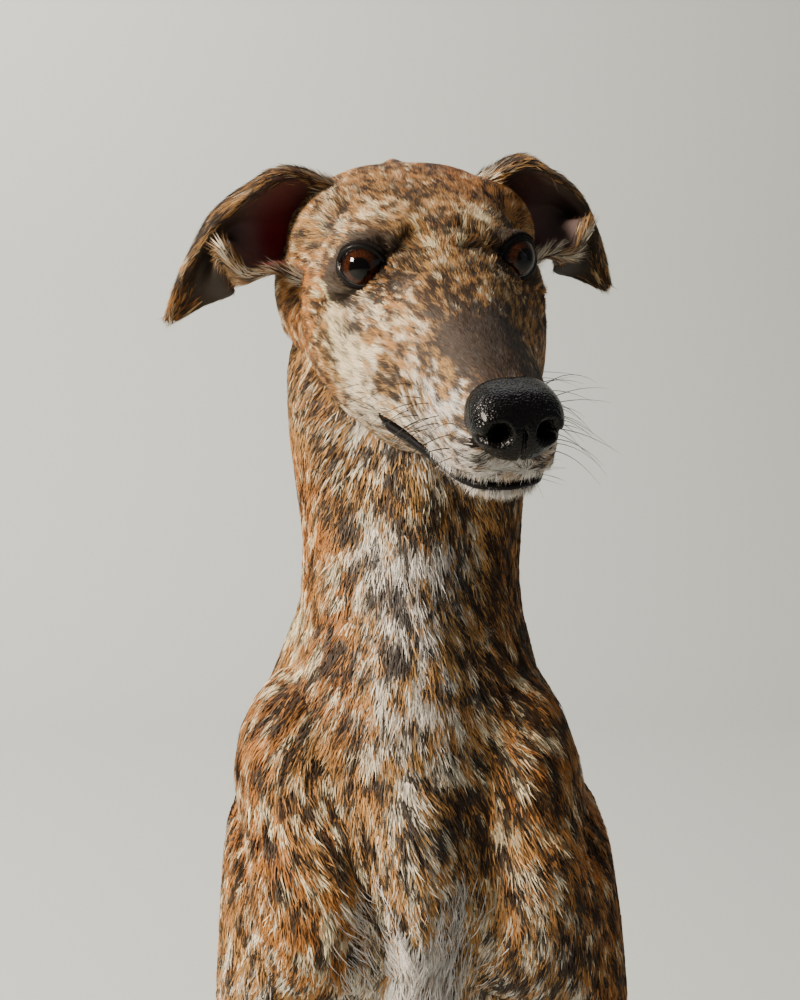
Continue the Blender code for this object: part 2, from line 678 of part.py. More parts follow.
def on_the_floor(made, collection):
    """Flattens what would sink under the floor."""
    boolean(made, beyond((0, 0, 0), (0, 0, -1), collection), "DIFFERENCE")


def build_forepaw(name, side, collection):
    leg = loft("leg", FORELEG[4:], 18, 18, collection, side)
    made = paw(name, [leg], PAW_SPREAD, PAW_FRONT, FORE_KNUCKLE, side, collection)
    keep_below(made, (0, 0, WRIST_HEIGHT), (0, 0, 1), collection)
    on_the_floor(made, collection)
    return finished(made, name)


def build_hindpaw(name, side, collection):
    foot = loft("foot", HINDFOOT, 24, 18, collection, side)
    hock = loft("hock", SHANK[2:], 14, 18, collection, side)
    made = paw(name, [foot, hock], HINDPAW_SPREAD, HINDPAW_FRONT, HIND_KNUCKLE, side, collection)
    keep_below(made, (0, 0, HOCK_HEIGHT), (0, 0, 1), collection)
    on_the_floor(made, collection)
    return finished(made, name)


def build_tail(collection):
    made = loft("tail", TAIL, 34, 12, collection, lies=True)
    boolean(made, beyond((0, TAIL_BACK + GAP, 0), (0, -1, 0), collection), "DIFFERENCE")
    on_the_floor(made, collection)
    return finished(made, "tail")


def finished(made, name):
    made = keep_largest(made)
    made.name = name
    return made


def part_limbs(body, word, side, collection):
    """Foreleg, hind paw's clearance, shank and thigh of one side."""
    wrist = WRIST_HEIGHT + GAP
    low, high = mirrored((FORELEG_INSIDE, -LIMB_REACH, wrist),
                         (LIMB_REACH, FORELEG_BACK, ELBOW_HEIGHT), side)
    take_box(body, f"foreleg_{word}", low, high, collection)
    low, high = mirrored((FORELEG_INSIDE, -LIMB_REACH, BELOW_FLOOR),
                         (LIMB_REACH, FORELEG_BACK, wrist), side)
    boolean(body, box("foot", low, high, collection), "DIFFERENCE")
    low, high = mirrored((FLANK_ASIDE, HAUNCH_FRONT, BELOW_FLOOR),
                         (LIMB_REACH, HAUNCH_REACH, HAUNCH_TOP), side)
    haunch = take_box(body, "haunch", low, high, collection)
    low, high = mirrored((HOCK_INSIDE, -HAUNCH_REACH, BELOW_FLOOR),
                         (LIMB_REACH, HAUNCH_REACH, HOCK_HEIGHT + GAP), side)
    boolean(haunch, box("foot", low, high, collection), "DIFFERENCE")
    take_beyond(haunch, f"thigh_{word}", KNEE, KNEE_NORMAL, collection)
    finished(haunch, f"shank_{word}")


def main():
    for old in list(bpy.data.objects):
        bpy.data.objects.remove(old)
    model = bpy.data.collections.new("greyhound")
    bpy.context.scene.collection.children.link(model)

    body = build_body(model)
    on_the_floor(body, model)
    boolean(body, beyond(NAPE_POINT, NAPE_NORMAL, model, -GAP), "DIFFERENCE")
    boolean(body, beyond((0, TAIL_BACK, 0), (0, 1, 0), model), "DIFFERENCE")
    take_beyond(body, "neck", NECK_BASE_POINT, NECK_BASE_NORMAL, model)
    for word, side in SIDES.items():
        part_limbs(body, word, side, model)
        build_forepaw(f"forepaw_{word}", side, model)
        build_hindpaw(f"hindpaw_{word}", side, model)
    take_beyond(body, "chest", RIBS_POINT, RIBS_NORMAL, model)
    finished(body, "loin")
    build_tail(model)

    nose = build_nose(model)
    head = build_head(nose, model)
    for word, side in SIDES.items():
        ball(f"eye_{word}", EYE_RADIUS, eye_matrix(side), model)
        build_ear(side, head, model)

    fur = colour_of("coat", 0.42, 0.24, 0.12, 0.85)
    leather = colour_of("leather", 0.02, 0.018, 0.018, 0.35)
    glass = colour_of("eye", 0.06, 0.02, 0.008, 0.08)
    for made in model.objects:
        made.data.transform(Matrix.Translation((0, -SEAT_BACK, 0)))
        made.data.materials.clear()
        kind = leather if made.name == "nose" else glass if made.name.startswith("eye") else fur
        made.data.materials.append(kind)


main()
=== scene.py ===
"""A greyhound that sits upright, life size: its skin, coat, face and claws, in a pale studio.

The flesh is laid out like the solid model: rings of flesh along the neck, trunk, limbs and tail, and
rounded masses for muscle. They are fused into one skin, which is then shaped at the eyes, mouth and
brow. The coat is drawn as flat, tapered tufts over that skin, laid along the way the hair grows.
"""

import math

import bmesh
import bpy
import numpy as np
from mathutils import Matrix, Vector
from mathutils.bvhtree import BVHTree


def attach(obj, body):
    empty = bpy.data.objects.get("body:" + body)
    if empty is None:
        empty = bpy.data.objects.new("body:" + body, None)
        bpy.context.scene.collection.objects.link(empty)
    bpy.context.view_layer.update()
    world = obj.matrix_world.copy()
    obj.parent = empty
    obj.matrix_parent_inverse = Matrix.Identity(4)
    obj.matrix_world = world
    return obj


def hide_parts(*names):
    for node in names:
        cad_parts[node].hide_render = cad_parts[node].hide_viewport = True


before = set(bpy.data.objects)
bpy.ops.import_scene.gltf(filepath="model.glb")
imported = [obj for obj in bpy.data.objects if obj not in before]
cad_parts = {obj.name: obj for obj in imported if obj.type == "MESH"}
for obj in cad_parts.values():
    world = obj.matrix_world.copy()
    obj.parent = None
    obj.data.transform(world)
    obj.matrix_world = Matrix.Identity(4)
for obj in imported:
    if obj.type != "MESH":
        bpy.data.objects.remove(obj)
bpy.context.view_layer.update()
FEWER = 1
rng = np.random.default_rng(31)

# The forelegs stand this far in front of the model's origin, which is under the seat
SEAT_BACK = 0.338

# The coat stands this far over the skin
BODY_COAT = 0.0026
HEAD_COAT = 0.0014

# Where the head is carried, and how it is turned, as in the solids
EYE_HEIGHT = 0.780
EYE_FORWARD = 0.045
EYE_ASIDE = 0.0145
HEAD_NOSE_DOWN = math.radians(18.0)
HEAD_TURN = math.radians(12.5)
HEAD_TILT = math.radians(-2.5)
# The head's own looks hold this far from between the eyes, and are gone on the neck by this far
HEAD_REACH = 0.105
NECK_STARTS = 0.135

# The chest leans this far to its right, most at this height, within this reach of it
LEAN = 0.006
LEAN_HEIGHT = 0.545
LEAN_REACH = 0.055

# The eyes
EYE_RADIUS = 0.0126
EYE_SUNK = 0.0028
EYE_SPREAD = 0.0345
GAZE_OUT = math.radians(24.0)
GAZE_UP = math.radians(10.0)
LID_HALF_WIDTH = 0.0112
UPPER_LID = 0.0086
LOWER_LID = 0.0078
LID_SLANT = math.radians(-8.0)
LID_UNDER = 0.0005
LID_FOLD = 0.0010
LID_BAND = 0.0021
FAR_FROM_EYES = 0.9
# The cornea: how high it swells over the eyeball, and within what angle of the gaze
CORNEA_HEIGHT = 0.0010
CORNEA_ANGLE = 0.50

# The nose leather
NOSE_FORWARD = 0.133
NOSE_DROP = 0.0275
NOSE_HALF_WIDTH = 0.0194
NOSE_TOP = 0.0142
NOSE_UNDER = 0.0165
NOSE_DEPTH = 0.020
NOSTRIL_ASIDE = 0.0098
NOSTRIL_UP = -0.0012

# The mouth's line, in the head's own frame
MOUTH_CORNER_FORWARD = 0.042
MOUTH_DROP = 0.0525
MOUTH_SAG = 0.0035
MOUTH_CORNER_LOWER = 0.0050
MOUTH_FRONT = 0.150
FROM_THE_SIDE = 0.12

# Sizes of the mesh
SKIN_VOXEL = 0.0021 * FEWER**0.35
SKIN_TRIANGLES = 185000
BODY_TUFTS = 385000 // FEWER
HEAD_TUFTS = 260000 // FEWER
EAR_TUFTS = 22000 // FEWER
FRINGE_TUFTS = 7000 // FEWER
CHEST_TUFTS = 1600 // FEWER
PIECE_TRIANGLES = 196000
UV_PATCH = 0.003
FLOOR_GAP = 0.0003
SKIN_FLOOR = 0.0002
ROWS_AT_ONCE = 6000

# The lower lip's bare edge
LIP_FRONT = 0.128
LIP_UNDER = 0.0022
LIP_SUNK = -0.0002
LIP_RADIUS = 0.0024

CLAW_LENGTH = 0.013

LEFT, RIGHT = 1, -1

# Where a mix node of colours has its two inputs and its output
MIX_A, MIX_B, MIX_OUT = 6, 7, 2

# Rings of flesh: centre (x, y, z), half width, reach to the back, reach to the front, and how much
# narrower than its middle the front edge is. Without reaches a ring is round, and without the last
# number its front is no narrower
TORSO = (
    ((0, 0.045, 0.585), 0.062, 0.066, 0.070, 0.10),
    ((0, 0.052, 0.525), 0.078, 0.088, 0.098, 0.25),
    ((0, 0.085, 0.455), 0.093, 0.102, 0.118, 0.35),
    ((0, 0.135, 0.385), 0.103, 0.103, 0.116, 0.35),
    ((0, 0.194, 0.312), 0.091, 0.093, 0.093, 0.25),
    ((0, 0.248, 0.240), 0.078, 0.086, 0.078, 0.10),
    ((0, 0.290, 0.163), 0.084, 0.090, 0.082),
    ((0, 0.318, 0.090), 0.088, 0.078, 0.080),
    ((0, 0.333, 0.035), 0.074, 0.060, 0.070),
    ((0, 0.338, -0.010), 0.050, 0.040, 0.050),
)
NECK = (
    ((0, 0.026, 0.790), 0.043, 0.040, 0.034),
    ((0, 0.036, 0.745), 0.062, 0.054, 0.050),
    ((0, 0.040, 0.700), 0.0655, 0.056, 0.058, 0.10),
    ((0, 0.041, 0.655), 0.0610, 0.057, 0.063, 0.18),
    ((0, 0.041, 0.610), 0.0600, 0.066, 0.071, 0.18),
    ((0, 0.045, 0.560), 0.0740, 0.080, 0.086, 0.15),
    ((0, 0.055, 0.505), 0.0740, 0.080, 0.090, 0.10),
)
FORELEG = (
    ((0.076, 0.032, 0.440), 0.034, 0.040, 0.040),
    ((0.082, 0.024, 0.385), 0.031, 0.042, 0.038),
    ((0.081, 0.010, 0.325), 0.027, 0.030, 0.029),
    ((0.076, 0.003, 0.245), 0.0200, 0.0200, 0.0215),
    ((0.071, 0.000, 0.165), 0.0175, 0.0175, 0.0175),
    ((0.069, 0.001, 0.125), 0.0200, 0.0200, 0.0185),
    ((0.068, -0.005, 0.085), 0.0190, 0.0160, 0.0165),
    ((0.067, -0.017, 0.050), 0.0215, 0.0170, 0.0190),
    ((0.067, -0.030, 0.026), 0.0240, 0.0170, 0.0170),
)
THIGH = (
    ((0.058, 0.330, 0.130), 0.040, 0.060, 0.060),
    ((0.082, 0.275, 0.175), 0.043, 0.078, 0.080),
    ((0.105, 0.215, 0.222), 0.038, 0.066, 0.068),
    ((0.120, 0.170, 0.262), 0.028, 0.044, 0.044),
    ((0.125, 0.148, 0.285), 0.020, 0.026, 0.026),
)
SHANK = (
    ((0.124, 0.150, 0.278), 0.022, 0.028, 0.028),
    ((0.124, 0.178, 0.215), 0.026, 0.040, 0.034),
    ((0.121, 0.222, 0.148), 0.022, 0.030, 0.026),
    ((0.118, 0.266, 0.088), 0.0150, 0.0180, 0.0160),
    ((0.117, 0.300, 0.040), 0.0165, 0.0200, 0.0180),
)
HINDFOOT = (
    ((0.116, 0.326, 0.024), 0.0120, 0.0140, 0.0120),
    ((0.117, 0.298, 0.022), 0.0165, 0.0200, 0.0180),
    ((0.118, 0.240, 0.016), 0.0150, 0.0170, 0.0150),
    ((0.119, 0.170, 0.016), 0.0175, 0.0180, 0.0150),
    ((0.119, 0.135, 0.018), 0.0220, 0.0180, 0.0160),
)
TAIL = (
    ((0, 0.350, 0.110), 0.0260),
    ((0, 0.398, 0.066), 0.0190),
    ((0.004, 0.440, 0.027), 0.0150),
    ((0.020, 0.500, 0.0110), 0.0120),
    ((0.062, 0.570, 0.0085), 0.0092),
    ((0.130, 0.620, 0.0065), 0.0070),
    ((0.205, 0.625, 0.0048), 0.0052),
    ((0.260, 0.590, 0.0034), 0.0038),
)
# Rings of the head, from the nose back: forward, top, underside, half width, narrower on top
HEAD = (
    (0.1300, -0.0180, -0.0540, 0.0155, 0.20),
    (0.1200, -0.0155, -0.0655, 0.0215, 0.30),
    (0.0900, -0.0075, -0.0700, 0.0275, 0.34),
    (0.0600, 0.0000, -0.0760, 0.0335, 0.34),
    (0.0320, 0.0085, -0.0835, 0.0440, 0.28),
    (0.0100, 0.0165, -0.0890, 0.0520, 0.20),
    (-0.0150, 0.0225, -0.0895, 0.0580, 0.12),
    (-0.0450, 0.0280, -0.0830, 0.0610, 0.08),
    (-0.0750, 0.0305, -0.0720, 0.0590, 0.06),
    (-0.1000, 0.0260, -0.0580, 0.0500, 0.08),
    (-0.1150, 0.0150, -0.0400, 0.0350, 0.10),
)
BOXY = 0.68
HEAD_MIDDLE = 0.46
JAW_NARROW = 0.19

# Rounded masses on each side: centre, radii, and turn about X in degrees
SHOULDER_MASSES = (
    ((0.034, 0.092, 0.545), (0.026, 0.040, 0.062), 22),
    ((0.055, 0.026, 0.505), (0.036, 0.052, 0.076), 20),
    ((0.075, 0.036, 0.445), (0.034, 0.054, 0.074), -10),
    ((0.082, 0.040, 0.400), (0.026, 0.036, 0.044), 0),
    ((0.052, -0.004, 0.470), (0.036, 0.034, 0.072), 0),
)
KEEL_MASSES = (
    ((0, -0.026, 0.495), (0.0230, 0.026, 0.062), -4),
    ((0, -0.004, 0.430), (0.0250, 0.026, 0.052), -20),
)
HEAD_MASSES = (
    ((0.0400, 0.0400, -0.0360), (0.0180, 0.0360, 0.0280), 0),
    ((0.0430, 0.0200, -0.0080), (0.0085, 0.0340, 0.0080), -6),
    ((0.0270, -0.0030, 0.0030), (0.0130, 0.0180, 0.0095), 0),
    ((0.0120, -0.1060, -0.0410), (0.0120, 0.0260, 0.0170), 0),
    ((0.0300, 0.0580, -0.0030), (0.0335, 0.0360, 0.0300), 0),
)
CREST_MASSES = (
    ((0, 0.0960, 0.0165), (0.0100, 0.0190, 0.0110), 20),
    ((0, -0.1040, -0.0605), (0.0135, 0.0220, 0.0080), 0),
)
# The rounded, furred base of each ear
EAR_BASES = {
    LEFT: ((0.0400, 0.0640, -0.0120), (0.0240, 0.0300, 0.0300)),
    RIGHT: ((0.0440, 0.0620, -0.0280), (0.0260, 0.0320, 0.0340)),
}
# The paws: where each stands, how far forward its middle toes reach, and its knuckles' height
PAWS = ((0.067, -0.068, 0.0245), (0.119, 0.082, 0.0215))
TOE_OFFSETS = (-0.0185, -0.0068, 0.0068, 0.0185)
OUTER_TOE_BACK = 0.011


def turn_matrix(axis, angle):
    return np.array(Matrix.Rotation(angle, 3, axis))


HEAD_TURNED = (turn_matrix("Z", HEAD_TURN) @ turn_matrix("X", HEAD_NOSE_DOWN)
               @ turn_matrix("Y", HEAD_TILT))
HEAD_PLACE = np.array([EYE_ASIDE, -EYE_FORWARD - SEAT_BACK, EYE_HEIGHT])


def from_head(points):
    """Carries points from the head's own frame, level and facing -Y from the eyes, to their place."""
    return np.asarray(points, float) @ HEAD_TURNED.T + HEAD_PLACE


def to_head(points):
    """The other way: world points in the head's own frame, with the second number counted forward."""
    return (np.asarray(points) - HEAD_PLACE) @ HEAD_TURNED * (1, -1, 1)


def to_body(points):
    """World points as the rings of flesh give them, from between the forefeet."""
    return points + (0, SEAT_BACK, 0)


def hill(apart, width):
    """1 where apart is 0, falling off on both sides as a Gaussian of the width."""
    return np.exp(-((apart / width) ** 2))


def hills(apart, radii):
    """The same in three directions."""
    return np.exp(-np.sum((apart / radii) ** 2, axis=1))


def on_the_head(points, near, far):
    """1 on the skull and along the whole muzzle, fading to 0 on the neck from near to far."""
    head = to_head(points)
    skull = 1 - smooth_step(near, far, np.linalg.norm(head - (0, 0, -0.01), axis=1))
    muzzle = smooth_step(0.040, 0.060, head[:, 1]) * smooth_step(-0.108, -0.094, head[:, 2])
    return np.maximum(skull, muzzle)


def smooth_step(low, high, value):
    """0 below low, 1 above high, and an S-curve between them."""
    t = np.clip((value - low) / (high - low), 0, 1)
    return t * t * (3 - 2 * t)


def unit(vectors):
    return vectors / np.maximum(np.linalg.norm(vectors, axis=-1, keepdims=True), 1e-9)


def through(values, count):
    """A smooth curve through each column of values, read at count even steps (Catmull-Rom)."""
    values = np.array(values, float)
    padded = np.vstack([2 * values[0] - values[1], values, 2 * values[-1] - values[-2]])
    at = np.linspace(0, len(values) - 1, count)
    start = np.minimum(at.astype(int), len(values) - 2)
    t = (at - start)[:, None]
    a, b, c, d = (padded[start + k] for k in range(4))
    return 0.5 * (2 * b + (c - a) * t + (2 * a - 5 * b + 4 * c - d) * t**2
                  + (3 * b - a - 3 * c + d) * t**3)


def ring_faces(rings, sides):
    """Quads between rings of points in order."""
    i, j = np.meshgrid(np.arange(rings - 1), np.arange(sides), indexing="ij")
    k = (j + 1) % sides
    quads = np.stack([i * sides + j, i * sides + k, (i + 1) * sides + k, (i + 1) * sides + j], -1)
    return quads.reshape(-1, 4).tolist()


def closed(points):
    """A grid of rings (rings, sides, 3) as flat points and faces, with both ends capped."""
    rings, sides = points.shape[:2]
    faces = ring_faces(rings, sides)
    faces.append(list(range(sides))[::-1])
    faces.append(list(range((rings - 1) * sides, rings * sides)))
    return points.reshape(-1, 3), faces


def ring(side, centre, width, back=None, front=None, narrow=0.0):
    """A ring's eight numbers, on the left or the right."""
    back = width if back is None else back
    return (centre[0] * side, *centre[1:], width, back, back if front is None else front, narrow)


def loft(stations, rings, sides, side=LEFT, thinner=BODY_COAT, lies=False):
    """Egg-shaped rings square to a smooth line: an angle goes round, and the reach to the back differs
    from the reach to the front, where the ring may also be narrower."""
    smooth = through([ring(side, *station) for station in stations], rings)
    line = smooth[:, :3]
    along = unit(np.gradient(line, axis=0))
    level = np.cross(along, (0.0, 0.0, 1.0)) if lies else np.array([1.0, 0, 0]) - along * along[:, :1]
    across = unit(level)
    back = np.cross(across, along)
    angle = np.linspace(0, 2 * math.pi, sides, endpoint=False)
    width = np.maximum(smooth[:, 3] - thinner, 0.0012)[:, None]
    reach = np.where(np.sin(angle) > 0, smooth[:, 4:5], smooth[:, 5:6])
    depth = np.maximum(reach - thinner, 0.0012) * np.sin(angle)
    taper = 1 - smooth[:, 6:7] * np.clip(-np.sin(angle), 0, 1) ** 2
    points = (line[:, None] + (width * taper * np.cos(angle))[..., None] * across[:, None]
              + depth[..., None] * back[:, None])
    points[..., 1] -= SEAT_BACK
    return closed(points)


def head_loft():
    """Rounded boxes square to the head's length: an angle goes round, and each box is narrower at the
    bridge than at the lips."""
    rings, sides = 90, 72
    smooth = through(HEAD, rings)
    forward, top, under, width, narrow = (smooth[:, k, None] for k in range(5))
    top, under, width = top - HEAD_COAT, under + HEAD_COAT, width - HEAD_COAT
    angle = np.linspace(0, 2 * math.pi, sides, endpoint=False)[None]
    rise = np.sign(np.sin(angle)) * np.abs(np.sin(angle)) ** BOXY
    middle = under + (top - under) * HEAD_MIDDLE
    height = np.where(rise > 0, middle + (top - middle) * rise, middle + (middle - under) * rise)
    bridge = 1 - narrow * np.clip(rise, 0, 1) ** 2 - JAW_NARROW * np.clip(-rise, 0, 1) ** 2
    side = width * bridge * np.sign(np.cos(angle)) * np.abs(np.cos(angle)) ** BOXY
    points = np.stack([side, np.broadcast_to(-forward, side.shape), height], -1)
    return closed(from_head(points))


def mass(centre, radii, turn, side=LEFT, thinner=BODY_COAT, head=False, rings=22, sides=32):
    """An ellipsoid: latitude and longitude on a ball, stretched by its radii and tipped about X."""
    latitude = np.linspace(-math.pi / 2, math.pi / 2, rings + 2)[1:-1, None]
    longitude = np.linspace(0, 2 * math.pi, sides, endpoint=False)[None]
    ball = np.stack([np.cos(latitude) * np.cos(longitude), np.cos(latitude) * np.sin(longitude),
                     np.broadcast_to(np.sin(latitude), (rings, sides))], -1)
    points = (ball * (np.array(radii) - thinner)) @ turn_matrix("X", math.radians(turn)).T
    points = points + np.array(centre) * (side, 1, 1)
    if head:
        return closed(from_head(points))
    return closed(points - (0, SEAT_BACK, 0))


def mesh_object(name, points, faces):
    mesh = bpy.data.meshes.new(name)
    mesh.from_pydata(np.asarray(points).tolist(), [], faces)
    made = bpy.data.objects.new(name, mesh)
    bpy.context.scene.collection.objects.link(made)
    return made


def joined(name, shapes):
    """One mesh of many closed shapes, each of whose faces point out."""
    points, faces, start = [], [], 0
    for shape_points, shape_faces in shapes:
        points.append(shape_points)
        faces.extend([[k + start for k in face] for face in shape_faces])
        start += len(shape_points)
    made = mesh_object(name, np.vstack(points), faces)
    face_out(made)
    return made


def edited(made, change):
    """Changes a mesh by a function of its faces, edges and corners."""
    work = bmesh.new()
    work.from_mesh(made.data)
    change(work)
    work.to_mesh(made.data)
    work.free()


def face_out(made):
    edited(made, lambda work: bmesh.ops.recalc_face_normals(work, faces=work.faces))


def settle(made):
    """Applies the modifiers of an object to its own mesh."""
    depsgraph = bpy.context.evaluated_depsgraph_get()
    final = bpy.data.meshes.new_from_object(made.evaluated_get(depsgraph))
    made.modifiers.clear()
    old = made.data
    made.data = final
    final.name = made.name
    bpy.data.meshes.remove(old)


def fused(made, voxel, rounding):
    """Joins overlapping shapes into one skin, and rounds the creases over a few voxels."""
    remesh = made.modifiers.new("fuse", "REMESH")
    remesh.mode = "VOXEL"
    remesh.voxel_size = voxel
    smooth = made.modifiers.new("round", "SMOOTH")
    smooth.factor = 0.5
    smooth.iterations = rounding
    settle(made)


def points_of(mesh):
    points = np.empty(len(mesh.vertices) * 3)
    mesh.vertices.foreach_get("co", points)
    return points.reshape(-1, 3)


def normals_of(mesh):
    normals = np.empty(len(mesh.vertices) * 3)
    mesh.vertex_normals.foreach_get("vector", normals)
    return normals.reshape(-1, 3)


def set_points(mesh, points):
    mesh.vertices.foreach_set("co", np.ascontiguousarray(points).ravel())
    mesh.update()


def triangles_of(mesh):
    mesh.calc_loop_triangles()
    corners = np.empty(len(mesh.loop_triangles) * 3, int)
    mesh.loop_triangles.foreach_get("vertices", corners)
    return corners.reshape(-1, 3)


def toe_tip(front, offset):
    """How far forward a toe reaches: the outer two end behind the middle ones."""
    return front + (0.0 if abs(offset) < 0.01 else OUTER_TOE_BACK)


def toes(paw, side):
    """The four arched toes and the pad of one paw."""
    centre_x, front, knuckle = paw
    shapes = []
    for offset in TOE_OFFSETS:
        tip = toe_tip(front, offset)
        x = centre_x * side + offset
        splay = offset * 0.25
        rings = (
            ((x - splay, tip + 0.040, knuckle), 0.0098, 0.0100),
            ((x, tip + 0.022, knuckle + 0.001), 0.0100, 0.0098, 0.0104),
            ((x + splay * 0.6, tip + 0.008, 0.0140), 0.0098, 0.0095),
            ((x + splay, tip, 0.0092), 0.0078, 0.0075),
        )
        shapes.append(loft(rings, 16, 18, LEFT, 0.0010))
    shapes.append(mass((centre_x, front + 0.036, 0.0085), (0.0185, 0.0150, 0.0105), 0, side, 0.0008))
    return shapes


def body_shapes():
    """Everything that is fused into the skin."""
    shapes = [loft(TORSO, 90, 64), loft(NECK, 70, 56), loft(TAIL, 120, 20, LEFT, 0.0012, True),
              head_loft()]
    for rows, head, thinner, sides in ((SHOULDER_MASSES, False, BODY_COAT, (LEFT, RIGHT)),
                                       (KEEL_MASSES, False, BODY_COAT, (LEFT,)),
                                       (HEAD_MASSES, True, HEAD_COAT, (LEFT, RIGHT)),
                                       (CREST_MASSES, True, HEAD_COAT, (LEFT,))):
        for centre, radii, turn in rows:
            shapes += [mass(centre, radii, turn, side, thinner, head) for side in sides]
    for side in (LEFT, RIGHT):
        centre, radii = EAR_BASES[side]
        shapes.append(mass(centre, radii, 0, side, HEAD_COAT, True))
        shapes += [loft(FORELEG, 70, 28, side, 0.0016), loft(THIGH, 50, 40, side),
                   loft(SHANK, 50, 28, side, 0.0018), loft(HINDFOOT, 50, 24, side, 0.0012)]
        for paw in PAWS:
            shapes += toes(paw, side)
    return shapes


def eye_turn(side):
    """The eyeball's own frame: its gaze runs along -Y."""
    return HEAD_TURNED @ turn_matrix("Z", GAZE_OUT * side) @ turn_matrix("X", -GAZE_UP)


def eye_centre(side):
    return from_head((EYE_SPREAD * side, EYE_SUNK, 0))


def to_eye(points, side):
    """World points seen in the eyeball's frame."""
    return (points - eye_centre(side)) @ eye_turn(side)


def from_eye(points, side):
    """The other way."""
    return points @ eye_turn(side).T + eye_centre(side)


def lid_outline(side, count=128):
    """The almond between the lids as angles off the gaze: for each turn round it, the way across and up
    it lies and how far off the gaze it is. Each lid is a flattened arch that ends in two points."""
    turn = np.linspace(0, 2 * math.pi, count, endpoint=False)
    across = LID_HALF_WIDTH * np.cos(turn)
    arch = np.clip(1 - (across / LID_HALF_WIDTH) ** 2, 0, 1)
    up = np.where(np.sin(turn) > 0, UPPER_LID * arch**0.62, -LOWER_LID * arch**0.75)
    slant = LID_SLANT * side
    flat = np.stack([across * math.cos(slant) + up * math.sin(slant),
                     -across * math.sin(slant) + up * math.cos(slant)], -1)
    reach = np.linalg.norm(flat, axis=1)
    return flat / reach[:, None], np.arcsin(np.clip(reach / EYE_RADIUS, 0, 0.98)), turn


def off_gaze(way, angle, radius):
    """Points in the eyeball's frame from a way across, an angle off the gaze and a distance."""
    sine = np.sin(angle) * radius
    return np.stack([way[..., 0] * sine, -np.cos(angle) * radius, way[..., 1] * sine], -1)


def outside_lids(seen, side):
    """How far points seen in the eyeball's frame are outside the almond, along the eyeball; less than
    zero inside it."""
    way, edge = lid_outline(side)[:2]
    line = off_gaze(way, edge, EYE_RADIUS)
    ball = unit(seen) * EYE_RADIUS
    apart = np.full(len(seen), 1.0)
    for start in range(0, len(seen), ROWS_AT_ONCE):
        rows = slice(start, start + ROWS_AT_ONCE)
        apart[rows] = np.linalg.norm(ball[rows, None] - line[None], axis=2).min(1)
    toward = np.arctan2(seen[:, 2], seen[:, 0])
    order = np.argsort(np.arctan2(way[:, 1], way[:, 0]))
    at_edge = np.interp(toward, np.arctan2(way[:, 1], way[:, 0])[order], edge[order], period=2 * math.pi)
    inside = np.arccos(np.clip(-ball[:, 1] / EYE_RADIUS, -1, 1)) < at_edge
    return np.where(inside, -apart, apart)


def shape_eye(points, side):
    """Lays the skin on the eyeball: it dips behind it between the lids, lies just over it where the bare
    lids go, and runs out into the brow and cheek."""
    centre, seen = eye_centre(side), to_eye(points, side)
    reach = np.linalg.norm(seen, axis=1)
    near = np.nonzero((reach < 0.040) & (seen[:, 1] < 0.002))[0]
    apart = outside_lids(seen[near], side)
    here = reach[near]
    on_lids = (1 - smooth_step(0.0042, 0.0105, apart)) * smooth_step(-0.05, 0.32, -seen[near, 1] / here)
    on_lids = on_lids * (1 - smooth_step(EYE_RADIUS + 0.005, EYE_RADIUS + 0.014, here)
                         * smooth_step(0.0030, 0.0050, apart))
    hood = upper_share(seen[near])
    fold = smooth_step(0, 0.0016, apart - (0.0020 - 0.0011 * hood))
    lid = EYE_RADIUS + LID_UNDER + (LID_FOLD + 0.0010 * hood) * fold
    wanted = here + (lid - here) * on_lids
    dip = 1 - smooth_step(0.0006, 0.0016, apart)
    wanted = wanted + (EYE_RADIUS - 0.0030 - wanted) * dip
    points = points.copy()
    points[near] = centre + (points[near] - centre) * (wanted / here)[:, None]
    return points


def upper_share(seen):
    """1 over the upper lid's middle and 0 below the two corners, in the eyeball's frame."""
    return smooth_step(0.10, 0.60, seen[:, 2] / np.linalg.norm(seen, axis=1))


def mouth_height(forward):
    """The lips' line: it sags a little at the middle, and is lower at its corner."""
    share = (forward - MOUTH_CORNER_FORWARD) / (MOUTH_FRONT - MOUTH_CORNER_FORWARD)
    share = np.clip(share, 0, 1)
    return -MOUTH_DROP - MOUTH_SAG * np.sin(share * math.pi) - MOUTH_CORNER_LOWER * (1 - share)


# Forms pushed out of, or pressed into, the head's skin: centre, radii and how far, on both sides
HEAD_PUSHES = (
    ((0.0180, 0.070, -0.0150), (0.012, 0.034, 0.012), -0.0022),
    ((0.0225, 0.016, -0.0040), (0.0095, 0.018, 0.014), -0.0036),
    ((0.0000, -0.020, 0.0300), (0.005, 0.040, 0.020), -0.0016),
    ((0.0200, 0.085, -0.0400), (0.012, 0.030, 0.008), 0.0016),
    ((0.0480, -0.030, -0.0260), (0.012, 0.022, 0.014), 0.0018),
    ((0.0500, -0.022, 0.0060), (0.012, 0.016, 0.012), -0.0022),
    ((0.0360, -0.040, -0.0620), (0.020, 0.030, 0.010), -0.0024),
)
# The same on the body: centre measured like the rings of flesh
BODY_PUSHES = (
    ((0.000, -0.028, 0.640), (0.013, 0.030, 0.070), 0.0030),
    ((0.026, -0.022, 0.640), (0.010, 0.030, 0.070), -0.0024),
    ((0.040, -0.010, 0.650), (0.014, 0.030, 0.080), 0.0022),
    ((0.026, -0.050, 0.445), (0.012, 0.040, 0.040), -0.0070),
    ((0.058, -0.030, 0.430), (0.018, 0.030, 0.060), 0.0020),
    ((0.088, 0.080, 0.480), (0.014, 0.020, 0.070), -0.0030),
    ((0.092, 0.035, 0.528), (0.024, 0.050, 0.022), 0.0034),
    ((0.095, 0.120, 0.440), (0.020, 0.030, 0.060), 0.0015),
    ((0.118, 0.250, 0.205), (0.020, 0.040, 0.040), 0.0030),
    ((0.070, 0.180, 0.300), (0.030, 0.050, 0.040), -0.0030),
)


